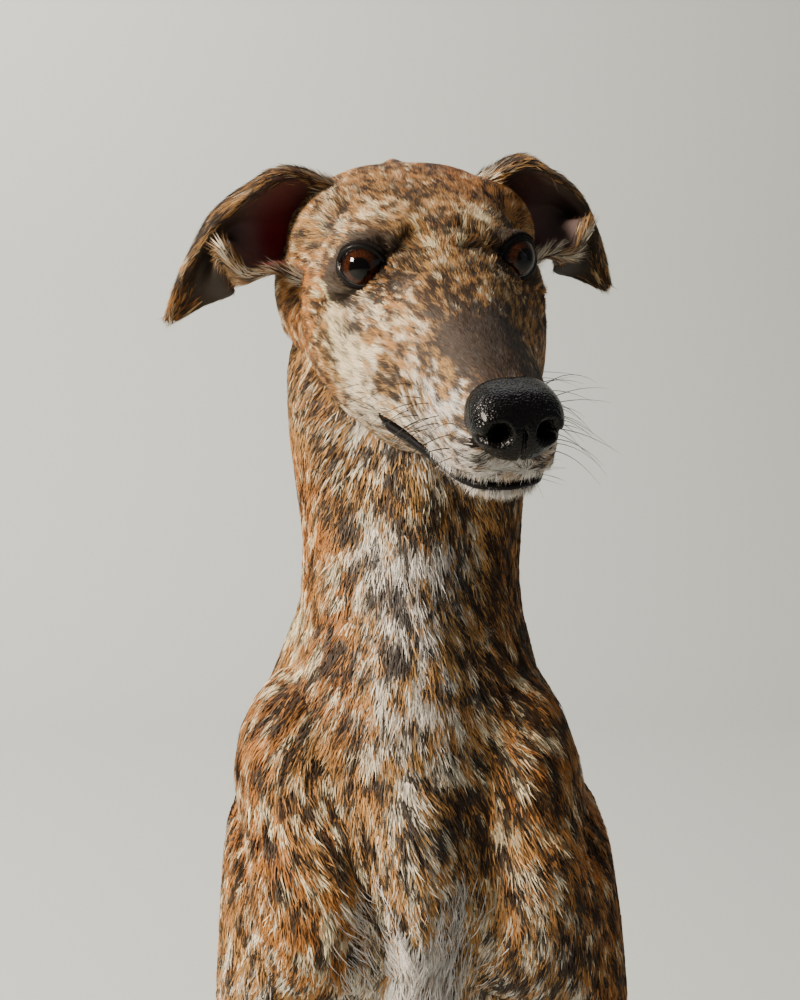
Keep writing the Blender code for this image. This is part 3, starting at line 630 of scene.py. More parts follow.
def pushes(points, normals, seen, rows, sides=(LEFT, RIGHT)):
    """Moves skin along its normal by a soft hill: the amount falls off as a Gaussian of the distance
    to the centre, measured in the hill's own radii."""
    moved = np.zeros(len(points))
    for centre, radii, amount in rows:
        for side in (sides if centre[0] else (LEFT,)):
            moved += amount * hills(seen - np.array(centre) * (side, 1, 1), radii)
    return points + normals * moved[:, None]


def shape_mouth(points, normals):
    """Presses a groove along the lips' line, with a soft roll of lip above and below it."""
    seen = to_head(points)
    apart = seen[:, 2] - mouth_height(seen[:, 1])
    along = smooth_step(MOUTH_CORNER_FORWARD - 0.003, MOUTH_CORNER_FORWARD + 0.004, seen[:, 1])
    near = along * (np.abs(apart) < 0.012) * (seen[:, 1] < 0.16)
    ajar = smooth_step(0.105, 0.122, seen[:, 1])
    groove = -(0.0034 + 0.0030 * ajar) * hill(apart, 0.0015 + 0.0012 * ajar)
    rolls = 0.0010 * hill(apart - 0.0042, 0.0030)
    rolls += 0.0008 * hill(apart + 0.0042, 0.0028)
    return points + normals * ((groove + rolls) * near)[:, None]


def build_skin():
    """The fused skin, shaped at the brow, muzzle, mouth, eyes, neck and chest, flat on the floor."""
    skin = joined("skin", body_shapes())
    fused(skin, SKIN_VOXEL, 12)
    keep_largest(skin)
    settle_flesh(skin)
    mesh = skin.data
    points, normals = points_of(mesh), normals_of(mesh)
    points[:, 0] -= LEAN * hill(points[:, 2] - LEAN_HEIGHT, LEAN_REACH)
    head = to_head(points)
    points = pushes(points, normals, head, HEAD_PUSHES)
    points = pushes(points, normals, to_body(points), BODY_PUSHES)
    set_points(mesh, points)
    refine(skin, lambda spots: near_eyes(spots) | near_lips(spots))
    refine(skin, near_eyes)
    mesh = skin.data
    points = shape_mouth(points_of(mesh), normals_of(mesh))
    for side in (LEFT, RIGHT):
        points = shape_eye(points, side)
    set_points(mesh, points)
    soften_round_eyes(skin)
    points = clear_lids(points_of(skin.data))
    points[:, 2] = np.maximum(points[:, 2], SKIN_FLOOR)
    set_points(skin.data, points)
    return skin


def modified(made, kind, share, **settings):
    """Applies a modifier that works at each vertex by a share from 0 to 1, taken to the next tenth."""
    share = np.round(share, 1)
    group = made.vertex_groups.new(name="share")
    for level in np.unique(share):
        group.add(np.nonzero(share == level)[0].tolist(), float(level), "REPLACE")
    modifier = made.modifiers.new("shared", kind)
    for name, value in settings.items():
        setattr(modifier, name, value)
    modifier.vertex_group = group.name
    settle(made)
    made.vertex_groups.clear()


def soften_round_eyes(skin):
    """Rounds the flesh outside the bare lids, where the lids' shape runs out into the brow and nose."""
    apart = eye_distance(points_of(skin.data))
    share = smooth_step(0.0022, 0.0052, apart) * (1 - smooth_step(0.018, 0.026, apart))
    modified(skin, "SMOOTH", share * (apart < FAR_FROM_EYES), factor=0.6, iterations=50)


def clear_lids(points):
    """Presses flesh that swelled over the bare lids back down: over the eyeball it may stand only as
    high as the lids' edge, and more only as it gets further away."""
    points = points.copy()
    for side in (LEFT, RIGHT):
        centre, seen = eye_centre(side), to_eye(points, side)
        near = np.nonzero((np.linalg.norm(seen, axis=1) < 0.034) & (seen[:, 1] < 0.004))[0]
        apart = outside_lids(seen[near], side)
        reach = np.linalg.norm(seen[near], axis=1)
        hood = upper_share(seen[near])
        most = EYE_RADIUS + LID_UNDER + 1.15 * np.maximum(apart - LID_BAND + 0.0014 * hood, 0)
        most += 0.0012 * hood * smooth_step(0.0004, 0.0016, apart)
        lower = np.minimum(1, most / reach)
        points[near] = centre + (points[near] - centre) * lower[:, None]
    return points


def near_eyes(points):
    apart = [np.linalg.norm(points - eye_centre(side), axis=1) for side in (LEFT, RIGHT)]
    return np.minimum(*apart) < 0.0225


def near_lips(points):
    seen = to_head(points)
    apart = np.abs(seen[:, 2] - mouth_height(seen[:, 1]))
    return (apart < 0.009) & (seen[:, 1] > MOUTH_CORNER_FORWARD - 0.010) & (np.abs(seen[:, 0]) < 0.06)


def refine(skin, wanted):
    """Halves the edges of the skin's faces where wanted says so."""
    close = wanted(points_of(skin.data))

    def halve(work):
        edges = [edge for edge in work.edges if all(close[vert.index] for vert in edge.verts)]
        bmesh.ops.subdivide_edges(work, edges=edges, cuts=1, use_grid_fill=True, smooth=0.35)
    edited(skin, halve)
    skin.data.update()


def settle_flesh(skin):
    """Rounds the trunk and neck over about a centimetre, so that masses run into each other, and the
    head, legs, feet and tail much less."""
    points = points_of(skin.data)
    body = to_body(points)
    share = 1 - on_the_head(points, HEAD_REACH, NECK_STARTS + 0.015)
    share = share * smooth_step(0.30, 0.40, body[:, 2] + 0.9 * body[:, 1])
    share = np.clip(0.14 + 0.86 * share, 0, 1) * smooth_step(0.03, 0.09, body[:, 2])
    modified(skin, "SMOOTH", share, factor=0.6, iterations=85)


def keep_largest(made):
    """Drops loose scraps of a fused mesh."""
    def drop_scraps(work):
        work.verts.ensure_lookup_table()
        seen, shells = set(), []
        for first in work.verts:
            if first.index in seen:
                continue
            shell, stack = [], [first]
            seen.add(first.index)
            while stack:
                vert = stack.pop()
                shell.append(vert)
                fresh = [edge.other_vert(vert) for edge in vert.link_edges]
                fresh = [other for other in fresh if other.index not in seen]
                seen.update(other.index for other in fresh)
                stack += fresh
            shells.append(shell)
        scraps = [vert for shell in sorted(shells, key=len)[:-1] for vert in shell]
        bmesh.ops.delete(work, geom=scraps, context="VERTS")
    edited(made, drop_scraps)


def thin_body(skin):
    """Brings the skin under the piece's limit: flat stretches of the body lose faces, the head none."""
    count = len(triangles_of(skin.data))
    if count <= SKIN_TRIANGLES:
        return
    points = points_of(skin.data)
    keep = 1 - on_the_head(points, HEAD_REACH, NECK_STARTS)
    feet = smooth_step(0.03, 0.06, points[:, 2])
    modified(skin, "DECIMATE", keep * (0.3 + 0.7 * feet), ratio=SKIN_TRIANGLES / count)


def linear(colour):
    """An sRGB hex colour as linear RGBA."""
    values = [int(colour[k:k + 2], 16) / 255 for k in (1, 3, 5)]
    return tuple(v / 12.92 if v <= 0.04045 else ((v + 0.055) / 1.055) ** 2.4 for v in values) + (1.0,)


def new_material(name, colour, roughness, ior=1.45, specular=0.5, coat=(0.0, 0.03, 1.5)):
    """A material of one colour. Its coat is a clear wet layer: how much, how rough, and its IOR."""
    made = bpy.data.materials.new(name)
    made.use_nodes = True
    shader = made.node_tree.nodes["Principled BSDF"]
    values = {"Base Color": linear(colour), "Roughness": roughness, "IOR": ior,
              "Specular IOR Level": specular, "Coat Weight": coat[0], "Coat Roughness": coat[1],
              "Coat IOR": coat[2]}
    for socket, value in values.items():
        shader.inputs[socket].default_value = value
    made.diffuse_color = linear(colour)
    return made


def feed(material, *links):
    """Links nodes to the material's shader: (its input, another node, its output)."""
    shader = material.node_tree.nodes["Principled BSDF"]
    for name, source, output in links:
        material.node_tree.links.new(source.outputs[output], shader.inputs[name])
    return material


def node(material, kind, settings=(), values=(), links=()):
    """One node: its settings, its inputs' values, and links (its input, another node, its output)."""
    tree = material.node_tree
    made = tree.nodes.new(kind)
    for name, value in dict(settings).items():
        setattr(made, name, value)
    for name, value in dict(values).items():
        made.inputs[name].default_value = value
    for name, source, output in links:
        tree.links.new(source.outputs[output], made.inputs[name])
    return made


# The camera, set to the photo's framing
CAMERA_AT = (-0.0060, -1.065, 0.7520)
CAMERA_AIM = (-0.0060, -0.365, 0.6670)
CAMERA_LENS = 52.0
CAMERA_ROLL = math.radians(-1.2)
# Lamps: name, place, aim, size, power and colour
LAMPS = (
    ("key", (-2.1, -1.20, 2.00), (0, -0.35, 0.6), (0.6, 0.6), 185, "#FFF1DE"),
    ("fill", (1.9, -1.6, 0.9), (0, -0.35, 0.6), (1.6, 1.6), 3, "#E6EEFF"),
    ("top", (0.2, 0.5, 2.6), (0, -0.3, 0.6), (1.6, 1.2), 12, "#FFFFFF"),
    ("backdrop", (-1.9, 0.6, 2.8), (-1.5, 2.3, 2.0), (1.6, 1.0), 96, "#FFFFFF"),
)
ROOM_COLOUR = "#DDE0E2"
ROOM_STRENGTH = 0.20


def camera_and_light():
    """The photo's portrait framing, a large soft lamp on the picture's left, and a pale room."""
    scene = bpy.context.scene
    camera = bpy.data.objects.new("camera", bpy.data.cameras.new("camera"))
    scene.collection.objects.link(camera)
    camera.location = CAMERA_AT
    aim = Vector(CAMERA_AIM) - Vector(CAMERA_AT)
    turned = aim.to_track_quat("-Z", "Y").to_matrix() @ Matrix.Rotation(CAMERA_ROLL, 3, "Z")
    camera.rotation_euler = turned.to_euler()
    camera.data.lens = CAMERA_LENS
    camera.data.sensor_fit = "VERTICAL"
    camera.data.sensor_height = 36.0
    camera.data.clip_start = 0.05
    scene.camera = camera
    for name, place, aim, size, power, colour in LAMPS:
        lamp = bpy.data.objects.new(name, bpy.data.lights.new(name, "AREA"))
        scene.collection.objects.link(lamp)
        lamp.location = place
        lamp.rotation_euler = (Vector(aim) - Vector(place)).to_track_quat("-Z", "Y").to_euler()
        lamp.data.shape = "RECTANGLE"
        lamp.data.size, lamp.data.size_y = size
        lamp.data.energy = power
        lamp.data.color = linear(colour)[:3]
    world = bpy.data.worlds.new("room")
    scene.world = world
    world.use_nodes = True
    world.node_tree.nodes["Background"].inputs["Color"].default_value = linear(ROOM_COLOUR)
    world.node_tree.nodes["Background"].inputs["Strength"].default_value = ROOM_STRENGTH


def build_stage():
    """A pale floor that sweeps up into the backdrop: a line across, carried along a bent profile."""
    turn = np.linspace(0, math.pi / 2, 24)
    bend = np.stack([1.6 + 0.9 * np.sin(turn), 0.9 - 0.9 * np.cos(turn)], -1)
    profile = np.vstack([[[-6.0, 0.0]], bend, [[2.5, 5.0]]])
    across = np.array([-6.0, 6.0])
    points = np.stack([np.broadcast_to(across[None], (len(profile), 2)),
                       np.broadcast_to(profile[:, :1], (len(profile), 2)),
                       np.broadcast_to(profile[:, 1:], (len(profile), 2))], -1).reshape(-1, 3)
    faces = [(2 * k, 2 * k + 1, 2 * k + 3, 2 * k + 2) for k in range(len(profile) - 1)]
    stage = smooth_shaded(mesh_object("studio_floor", points, faces))
    stage.data.materials.append(new_material("pale studio paper", "#CCCFCA", 0.85))
    return stage


# The eyes, nose, ears, claws and whiskers
def patch_faces(rows, columns):
    """Quads of an open grid of points, row by row."""
    i, j = np.meshgrid(np.arange(rows - 1), np.arange(columns - 1), indexing="ij")
    quads = np.stack([i * columns + j, i * columns + j + 1, (i + 1) * columns + j + 1,
                      (i + 1) * columns + j], -1)
    return quads.reshape(-1, 4).tolist()


def smooth_shaded(made):
    made.data.polygons.foreach_set("use_smooth", np.ones(len(made.data.polygons), bool))
    made.data.update()
    return made


def finish_piece(made, material, replaced=()):
    """Shades a piece smoothly, paints it, ties it to the body, and hides the solid parts it stands for.
    """
    smooth_shaded(made)
    made.data.materials.clear()
    made.data.materials.append(material)
    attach(made, "root")
    if replaced:
        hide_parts(*replaced)
    return made


def add_attribute(mesh, name, kind, values):
    made = mesh.attributes.new(name, kind, "POINT")
    field = {"FLOAT": "value", "FLOAT_VECTOR": "vector", "FLOAT_COLOR": "color"}[kind]
    made.data.foreach_set(field, np.ascontiguousarray(values, np.float32).ravel())


def eye_piece(name, side, material):
    """An eyeball as rings about its gaze: an angle from the gaze and a turn round it. The cornea swells
    where the angle is small, and the angle and the turn are kept for the iris to be painted by."""
    rings, sides = 64, 72
    angle = np.linspace(0.01, math.pi - 0.01, rings)[:, None]
    turn = np.linspace(0, 2 * math.pi, sides, endpoint=False)[None]
    radius = EYE_RADIUS + CORNEA_HEIGHT * hill(angle, CORNEA_ANGLE)
    ball = np.stack([radius * np.sin(angle) * np.cos(turn),
                     np.broadcast_to(-radius * np.cos(angle), (rings, sides)),
                     radius * np.sin(angle) * np.sin(turn)], -1)
    points, faces = closed(from_eye(ball, side))
    eye = mesh_object(name, points, faces)
    face_out(eye)
    add_attribute(eye.data, "gaze", "FLOAT", np.broadcast_to(angle, (rings, sides)))
    spokes = np.stack([np.cos(turn) + 0 * angle, np.sin(turn) + 0 * angle, 0.5 * angle + 0 * turn], -1)
    add_attribute(eye.data, "spokes", "FLOAT_VECTOR", spokes)
    return finish_piece(eye, material, (name.replace("ball", ""),))


# The iris: the colours between its spokes and on them, and how it fades outwards past an angle
IRIS_COLOURS = ("#1A0D06", "#4C2611")
IRIS_FADE = ((0.62, 0.75), (0.72, 0.30), (0.80, 0.04))


def eye_material():
    """Wet eyeball: black pupil, amber-brown iris of fine spokes, dark edge, under a clear wet layer."""
    made = new_material("wet eye", "#2A160B", 0.12, 1.38, 0.0, (0.8, 0.02, 1.38))
    gaze = node(made, "ShaderNodeAttribute", {"attribute_name": "gaze"})
    spokes = node(made, "ShaderNodeAttribute", {"attribute_name": "spokes"})
    fine = node(made, "ShaderNodeTexNoise", {}, {"Scale": 9.0, "Detail": 5.0, "Roughness": 0.7},
                [("Vector", spokes, "Vector")])
    iris = node(made, "ShaderNodeValToRGB", {}, {}, [("Fac", fine, "Fac")])
    for stop, position, colour in zip(iris.color_ramp.elements, (0.36, 0.66), IRIS_COLOURS):
        stop.position, stop.color = position, linear(colour)
    rings = node(made, "ShaderNodeValToRGB", {}, {}, [("Fac", gaze, "Fac")])
    stops = rings.color_ramp.elements
    stops[0].position, stops[0].color = 0.36, (0, 0, 0, 1)
    stops[1].position, stops[1].color = 0.43, (0.9, 0.9, 0.9, 1)
    for position, level in IRIS_FADE:
        stops.new(position).color = (level, level, level, 1)
    mixed = node(made, "ShaderNodeMix", {"data_type": "RGBA"}, {MIX_A: linear("#060404")},
                 [("Factor", rings, "Color"), (MIX_B, iris, "Color")])
    return feed(made, ("Base Color", mixed, MIX_OUT))


def tube(line, radii, sides=10, flat=1.0):
    """A round or flattened tube carried along a line of points, closed at both ends."""
    line, radii = np.asarray(line, float), np.asarray(radii, float)
    along = unit(np.gradient(line, axis=0))
    across = unit(np.cross(along, (0.0, 0.0, 1.0)))
    over = np.cross(across, along)
    angle = np.linspace(0, 2 * math.pi, sides, endpoint=False)
    points = (line[:, None] + (radii[:, None] * np.cos(angle))[..., None] * across[:, None]
              + (radii[:, None] * flat * np.sin(angle))[..., None] * over[:, None])
    return closed(points)


# The bare lids in millimetres: how far outside the almond, and how far over the eyeball
LID_PROFILE = ((-0.5, -0.4), (-0.1, 0.25), (0.15, 0.65), (0.5, 0.95), (1.0, 1.10), (1.6, 1.10),
               (2.2, 1.00), (2.9, 0.75), (3.6, 0.30), (4.4, -0.30))


def build_lids(material):
    """The bare black lids: a band round each almond that rises from the eyeball over a rounded margin,
    lies along it and dives under the fur. It is longer at the two corners."""
    shapes = []
    profile = through(LID_PROFILE, 30) / 1000
    for side in (LEFT, RIGHT):
        way, edge, turn = lid_outline(side)
        stretch = 1 + 0.55 * np.abs(np.cos(turn)) ** 8
        upper = 0.25 * np.clip(np.sin(turn), 0, 1)
        out = np.where(profile[:, :1] > 0, profile[:, :1] * stretch, profile[:, :1])
        angle = edge + out / EYE_RADIUS
        radius = EYE_RADIUS + profile[:, 1:] * np.where(profile[:, 1:] > 0, 1 + upper, 1)
        rings = off_gaze(np.broadcast_to(way, angle.shape + (2,)), angle, radius)
        shapes.append(closed(from_eye(rings, side)))
        corner = off_gaze(np.array([-side, 0.0]), math.asin(0.80), EYE_RADIUS * 0.985)
        ball, faces = mass((0, SEAT_BACK, 0), (0.0024, 0.0016, 0.0020), 0, LEFT, 0, False, 12, 16)
        shapes.append((ball + from_eye(corner, side), faces))
    lids = joined("eyelids", shapes)
    drop_caps(lids)
    return finish_piece(lids, material)


def drop_caps(made):
    """Removes the large end faces of bands, which would show behind the eyeball."""
    edited(made, lambda work: bmesh.ops.delete(
        work, geom=[face for face in work.faces if len(face.verts) > 40], context="FACES_ONLY"))


TEAR_LINE = 0.00030


def build_tear_lines(material):
    """The wet line where the eyeball meets the lower lid: a thin bright thread."""
    shapes = []
    for side in (LEFT, RIGHT):
        way, edge, turn = lid_outline(side, 220)
        low = np.nonzero(np.sin(turn) < -0.05)[0]
        line = off_gaze(way[low], edge[low] - 0.0001 / EYE_RADIUS, EYE_RADIUS + 0.00018)
        shapes.append(tube(from_eye(line, side), np.full(len(low), TEAR_LINE), 6))
    return finish_piece(joined("tear_lines", shapes), material)


def nose_surface():
    """The nose leather: a dome over a rounded triangle, with an angle round it and a share from its
    front to its rim. Wings swell round two comma-shaped nostrils that run back along the sides, and a
    groove runs from between them down to the lip."""
    rings, sides = 110, 150
    share = np.linspace(0.0, 1.0, rings)[:, None]
    turn = np.linspace(0, 2 * math.pi, sides, endpoint=False)[None]
    sine, cosine = np.sin(turn), np.cos(turn)
    bulge = np.sin(share * math.pi / 2) ** 0.80
    wide = NOSE_HALF_WIDTH * (1 - 0.20 * np.clip(-sine, 0, 1) ** 1.5)
    x = wide * bulge * np.sign(cosine) * np.abs(cosine) ** 0.82
    z = bulge * np.where(sine > 0, NOSE_TOP, NOSE_UNDER) * np.sign(sine) * np.abs(sine) ** 0.86
    forward = NOSE_DEPTH * np.cos(share * math.pi / 2) ** 0.55
    forward = forward - 0.30 * np.clip(z, 0, 1)
    points = np.stack([x, forward, z + 0 * x], -1)
    dome = np.zeros_like(x)
    for side in (LEFT, RIGHT):
        across = x * side
        hole = np.exp(-(((across - NOSTRIL_ASIDE) / 0.0036) ** 2) - ((z - NOSTRIL_UP) / 0.0036) ** 2)
        slit = hill(z - NOSTRIL_UP + 0.0022 + 0.10 * (across - 0.0095), 0.0015)
        slit = slit * smooth_step(0.0080, 0.0105, across) * (1 - smooth_step(0.0165, 0.0185, across))
        wing = np.exp(-(((across - 0.0125) / 0.0050) ** 2) - ((z - NOSTRIL_UP - 0.0042) / 0.0050) ** 2)
        rim = hill(np.hypot(across - NOSTRIL_ASIDE, z - NOSTRIL_UP) - 0.0060, 0.0016)
        dome += -0.0090 * hole - 0.0034 * slit + 0.0010 * wing + 0.0008 * rim
    groove = hill(x, 0.0008) * (1 - smooth_step(-0.0020, 0.0030, z))
    dip = hill(x, 0.0040) * smooth_step(-0.004, 0.004, z)
    dome += -0.0018 * groove - 0.0004 * dip
    outward = unit(np.stack([0.55 * x / NOSE_HALF_WIDTH, np.cos(share * math.pi / 2) + 0.15 + 0 * x,
                             0.45 * z / NOSE_TOP], -1))
    points = points + outward * dome[..., None]
    points = points * (1, -1, 1) + (0, -(NOSE_FORWARD - 0.5 * NOSE_DEPTH), -NOSE_DROP)
    return from_head(points)


def build_nose(material):
    nose = mesh_object("nose_leather", *closed(nose_surface()))
    face_out(nose)
    return finish_piece(nose, material, ("nose",))


def wet_leather(name, colour, pebble, shine, wet):
    """Bare black skin: small rounded pebbles about 0.6 mm apart, damp enough to shine."""
    made = new_material(name, colour, shine, 1.45, 2 * wet, (wet, 0.12, 1.5))
    place = node(made, "ShaderNodeTexCoord")
    cells = node(made, "ShaderNodeTexVoronoi", {"feature": "SMOOTH_F1"}, {"Scale": 1100.0},
                 [("Vector", place, "Object")])
    soft = node(made, "ShaderNodeTexNoise", {}, {"Scale": 300.0, "Detail": 3.0},
                [("Vector", place, "Object")])
    bump = node(made, "ShaderNodeBump", {"invert": True}, {"Strength": pebble, "Distance": 0.0007},
                [("Height", cells, "Distance")])
    shade = node(made, "ShaderNodeMix", {"data_type": "RGBA"},
                 {MIX_A: linear(colour), MIX_B: linear("#0F0D0D")}, [("Factor", soft, "Fac")])
    return feed(made, ("Base Color", shade, MIX_OUT), ("Normal", bump, "Normal"))


# Lines across the ear leather from its root to its tip: the tucked margin, the front crest, the low
# and the high inside of the cup, the upper roll and the upper margin, each (aside, forward, up)
EAR_ROWS = (
    ((0.050, -0.060, -0.024), (0.046, -0.042, -0.021), (0.040, -0.070, -0.016),
     (0.036, -0.084, 0.000), (0.027, -0.062, 0.015), (0.026, -0.072, 0.017)),
    ((0.070, -0.056, -0.016), (0.070, -0.038, -0.010), (0.063, -0.068, -0.012),
     (0.060, -0.083, 0.002), (0.060, -0.057, 0.029), (0.060, -0.070, 0.032)),
    ((0.086, -0.060, -0.021), (0.087, -0.038, -0.011), (0.079, -0.066, -0.010),
     (0.078, -0.079, 0.004), (0.082, -0.054, 0.021), (0.083, -0.067, 0.024)),
    ((0.090, -0.074, -0.027), (0.099, -0.042, 0.001), (0.091, -0.066, -0.002),
     (0.091, -0.073, 0.004), (0.098, -0.055, 0.010), (0.100, -0.066, 0.012)),
    ((0.092, -0.079, -0.033), (0.101, -0.062, -0.018), (0.102, -0.068, -0.011),
     (0.104, -0.070, -0.007), (0.109, -0.060, -0.005), (0.111, -0.067, -0.005)),
    ((0.105, -0.079, -0.037), (0.108, -0.074, -0.031), (0.111, -0.073, -0.026),
     (0.114, -0.071, -0.022), (0.117, -0.066, -0.020), (0.119, -0.069, -0.020)),
    ((0.122, -0.076, -0.044), (0.123, -0.075, -0.043), (0.124, -0.075, -0.042),
     (0.125, -0.074, -0.041), (0.126, -0.073, -0.041), (0.127, -0.073, -0.041)),
)
EAR_LIFT = {LEFT: math.radians(3.0), RIGHT: 0.0}
EAR_LENGTH = {LEFT: 0.80, RIGHT: 0.96}
EAR_HINGE = (0.045, -0.070, 0.0)
EAR_SIDE_NAMES = {LEFT: "left", RIGHT: "right"}
EAR_THICKNESS = 0.0023
EAR_BROWN, EAR_MAUVE, EAR_RED = "#31271F", "#A08A86", "#B4343C"


def ear_grid(side, rows, columns):
    """The ear's leather: smooth curves through the lines across it, read evenly both ways."""
    guides = np.array(EAR_ROWS)
    lengthwise = np.stack([through(guides[:, k], rows) for k in range(guides.shape[1])], 1)
    grid = np.stack([through(line, columns) for line in lengthwise])
    grid = (grid - EAR_HINGE) * (EAR_LENGTH[side], 1, 1) @ turn_matrix("Y", EAR_LIFT[side]) + EAR_HINGE
    return from_head(grid * (side, -1, 1))


def even_shares(rows, columns):
    """Each grid point's share of the way along the rows and of the way across them."""
    shares = np.meshgrid(np.linspace(0, 1, rows), np.linspace(0, 1, columns), indexing="ij")
    return [share.ravel() for share in shares]


def build_ear(side, material):
    """One ear, closed: the leather's inner and outer faces, joined round its margin."""
    rows, columns = 60, 44
    grid = ear_grid(side, rows, columns)
    normal = unit(np.cross(np.gradient(grid, axis=0), np.gradient(grid, axis=1))) * side
    half = 0.5 * EAR_THICKNESS * normal
    points = np.concatenate([(grid + half).reshape(-1, 3), (grid - half).reshape(-1, 3)])
    front = patch_faces(rows, columns)
    back = [[k + rows * columns for k in face][::-1] for face in front]
    edge = ([(r, 0) for r in range(rows)] + [(rows - 1, c) for c in range(1, columns)]
            + [(r, columns - 1) for r in range(rows - 2, -1, -1)]
            + [(0, c) for c in range(columns - 2, 0, -1)])
    loop = [r * columns + c for r, c in edge]
    rim = [[a, b, b + rows * columns, a + rows * columns] for a, b in zip(loop, loop[1:] + loop[:1])]
    name = "ear_" + EAR_SIDE_NAMES[side]
    ear = mesh_object(name + "_leather", points, front + back + rim)
    face_out(ear)
    reach, turn = even_shares(rows, columns)
    red = np.exp(-(((reach - 0.22) / 0.13) ** 2) - ((turn - 0.50) / 0.20) ** 2)
    red = red * (1.0 if side == RIGHT else 0.30)
    mauve = np.exp(-(((reach - 0.34) / 0.16) ** 2) - ((turn - 0.48) / 0.22) ** 2)
    tint = np.stack([red, mauve, 0 * red, 1 + 0 * red], -1)
    add_attribute(ear.data, "tint", "FLOAT_COLOR", np.concatenate([tint, 0 * tint]))
    return finish_piece(ear, material, (name,)), grid


def ear_leather():
    """Thin bare skin inside the ear: dark brown, mauve in the hollow and deep red at its root."""
    made = new_material("ear leather", EAR_BROWN, 0.6, 1.45, 0.2)
    tint = node(made, "ShaderNodeAttribute", {"attribute_name": "tint"})
    split = node(made, "ShaderNodeSeparateColor", {}, {}, [("Color", tint, "Color")])
    place = node(made, "ShaderNodeTexCoord")
    veins = node(made, "ShaderNodeTexNoise", {}, {"Scale": 160.0, "Detail": 5.0, "Distortion": 0.6},
                 [("Vector", place, "Object")])
    mauve = node(made, "ShaderNodeMix", {"data_type": "RGBA"},
                 {MIX_A: linear(EAR_BROWN), MIX_B: linear(EAR_MAUVE)}, [("Factor", split, "Green")])
    red = node(made, "ShaderNodeMix", {"data_type": "RGBA"}, {MIX_B: linear(EAR_RED)},
               [(MIX_A, mauve, MIX_OUT), ("Factor", split, "Red")])
    mottled = node(made, "ShaderNodeMix", {"data_type": "RGBA", "blend_type": "MULTIPLY"},
                   {"Factor": 0.25}, [(MIX_A, red, MIX_OUT), (MIX_B, veins, "Color")])
    bump = node(made, "ShaderNodeBump", {}, {"Strength": 0.35, "Distance": 0.0006},
                [("Height", veins, "Fac")])
    return feed(made, ("Base Color", mottled, MIX_OUT), ("Normal", bump, "Normal"))


def skin_tree(skin):
    """The finished skin, ready to be asked where it is."""
    mesh = skin.data
    return BVHTree.FromPolygons(points_of(mesh).tolist(), triangles_of(mesh).tolist())


def on_skin(tree, spot):
    """The skin met on the way in from the side, level and square to the head's length, to a spot given
    in the head's own frame (aside, forward, up), and which way it faces."""
    outside, inside = from_head(np.array([[2.5 * spot[0], -spot[1], spot[2]], [0.0, -spot[1], spot[2]]]))
    place, normal = tree.ray_cast(Vector(outside), Vector(inside - outside), FROM_THE_SIDE)[:2]
    if place is None:
        place, normal = tree.find_nearest(Vector(inside))[:2]
    return np.array(place), np.array(normal)


def build_lips(tree, material):
    """The bare black edge of the lower lip, from one corner of the mouth round to the other: a soft
    roll just under the mouth's line, thin at its ends."""
    shapes = []
    for side in (LEFT, RIGHT):
        forwards = np.linspace(MOUTH_CORNER_FORWARD + 0.001, LIP_FRONT, 26)
        places = []
        for forward in forwards:
            spot, normal = on_skin(tree, (0.03 * side, forward, mouth_height(forward) - LIP_UNDER))
            places.append(spot - normal * LIP_SUNK)
        places = through(np.array(places), 60)
        share = np.linspace(0, 1, len(places))
        radii = LIP_RADIUS * (0.50 + 0.95 * smooth_step(0.0, 0.07, share) - 0.60 * share)
        shapes.append(tube(places, radii, 12, 0.8))
    return finish_piece(joined("lips", shapes), material)


# Whiskers: radius at the root, and how deep the root is sunk; rows on the upper lip with their first
# place (forward, up) and steps; and bunches on brow, cheek and chin: forward, up, how many and how long
LIP_WHISKER, FINE_WHISKER, WHISKER_SUNK = 0.00023, 0.00016, 0.0006
WHISKER_ROWS, WHISKERS_IN_ROW = 4, 5
WHISKER_FIRST, WHISKER_STEP = (0.072, -0.0340), (0.0100, -0.0052)
WHISKER_BUNCHES = ((0.014, 0.011, 5, 0.017), (0.030, -0.050, 3, 0.018), (0.110, -0.060, 8, 0.013))


def bristle(root, way, length, thick, droop):
    """One whisker: its way bends down by droop over its length, and it tapers to a point."""
    share = np.linspace(0, 1, 7)[:, None]
    down = np.array([0.0, 0.0, -1.0])
    line = root + way * length * share + down * (droop * length) * share**2
    return tube(line, thick * (1 - 0.85 * share[:, 0]), 5)


def build_whiskers(tree, material):
    """Stiff black feelers in rows on the upper lip, and a few on the brow, cheek and chin."""
    hairs = np.random.default_rng(5)
    shapes = []
    for side in (LEFT, RIGHT):
        for row in range(WHISKER_ROWS):
            for step in range(WHISKERS_IN_ROW):
                forward = WHISKER_FIRST[0] + WHISKER_STEP[0] * step + hairs.normal(0, 0.0012)
                up = WHISKER_FIRST[1] + WHISKER_STEP[1] * row + hairs.normal(0, 0.0010)
                root, normal = on_skin(tree, (0.03 * side, forward, up))
                back = from_head(np.array([[0.0, 1.0, -0.1]]))[0] - HEAD_PLACE
                way = unit(normal + back * hairs.uniform(-0.1, 0.5) + hairs.normal(0, 0.12, 3))
                length = hairs.uniform(0.014, 0.032)
                shapes.append(bristle(root - normal * WHISKER_SUNK, way, length, LIP_WHISKER,
                                      hairs.uniform(0.25, 0.65)))
        for forward, up, count, length in WHISKER_BUNCHES:
            for step in range(count):
                spot = (0.03 * side, forward + hairs.normal(0, 0.004), up + hairs.normal(0, 0.002))
                root, normal = on_skin(tree, spot)
                way = unit(normal + hairs.normal(0, 0.30, 3))
                own_length = length * hairs.uniform(0.7, 1.3)
                shapes.append(bristle(root - normal * WHISKER_SUNK, way, own_length, FINE_WHISKER,
                                      hairs.uniform(0.0, 0.3)))
    return finish_piece(joined("whiskers", shapes), material)


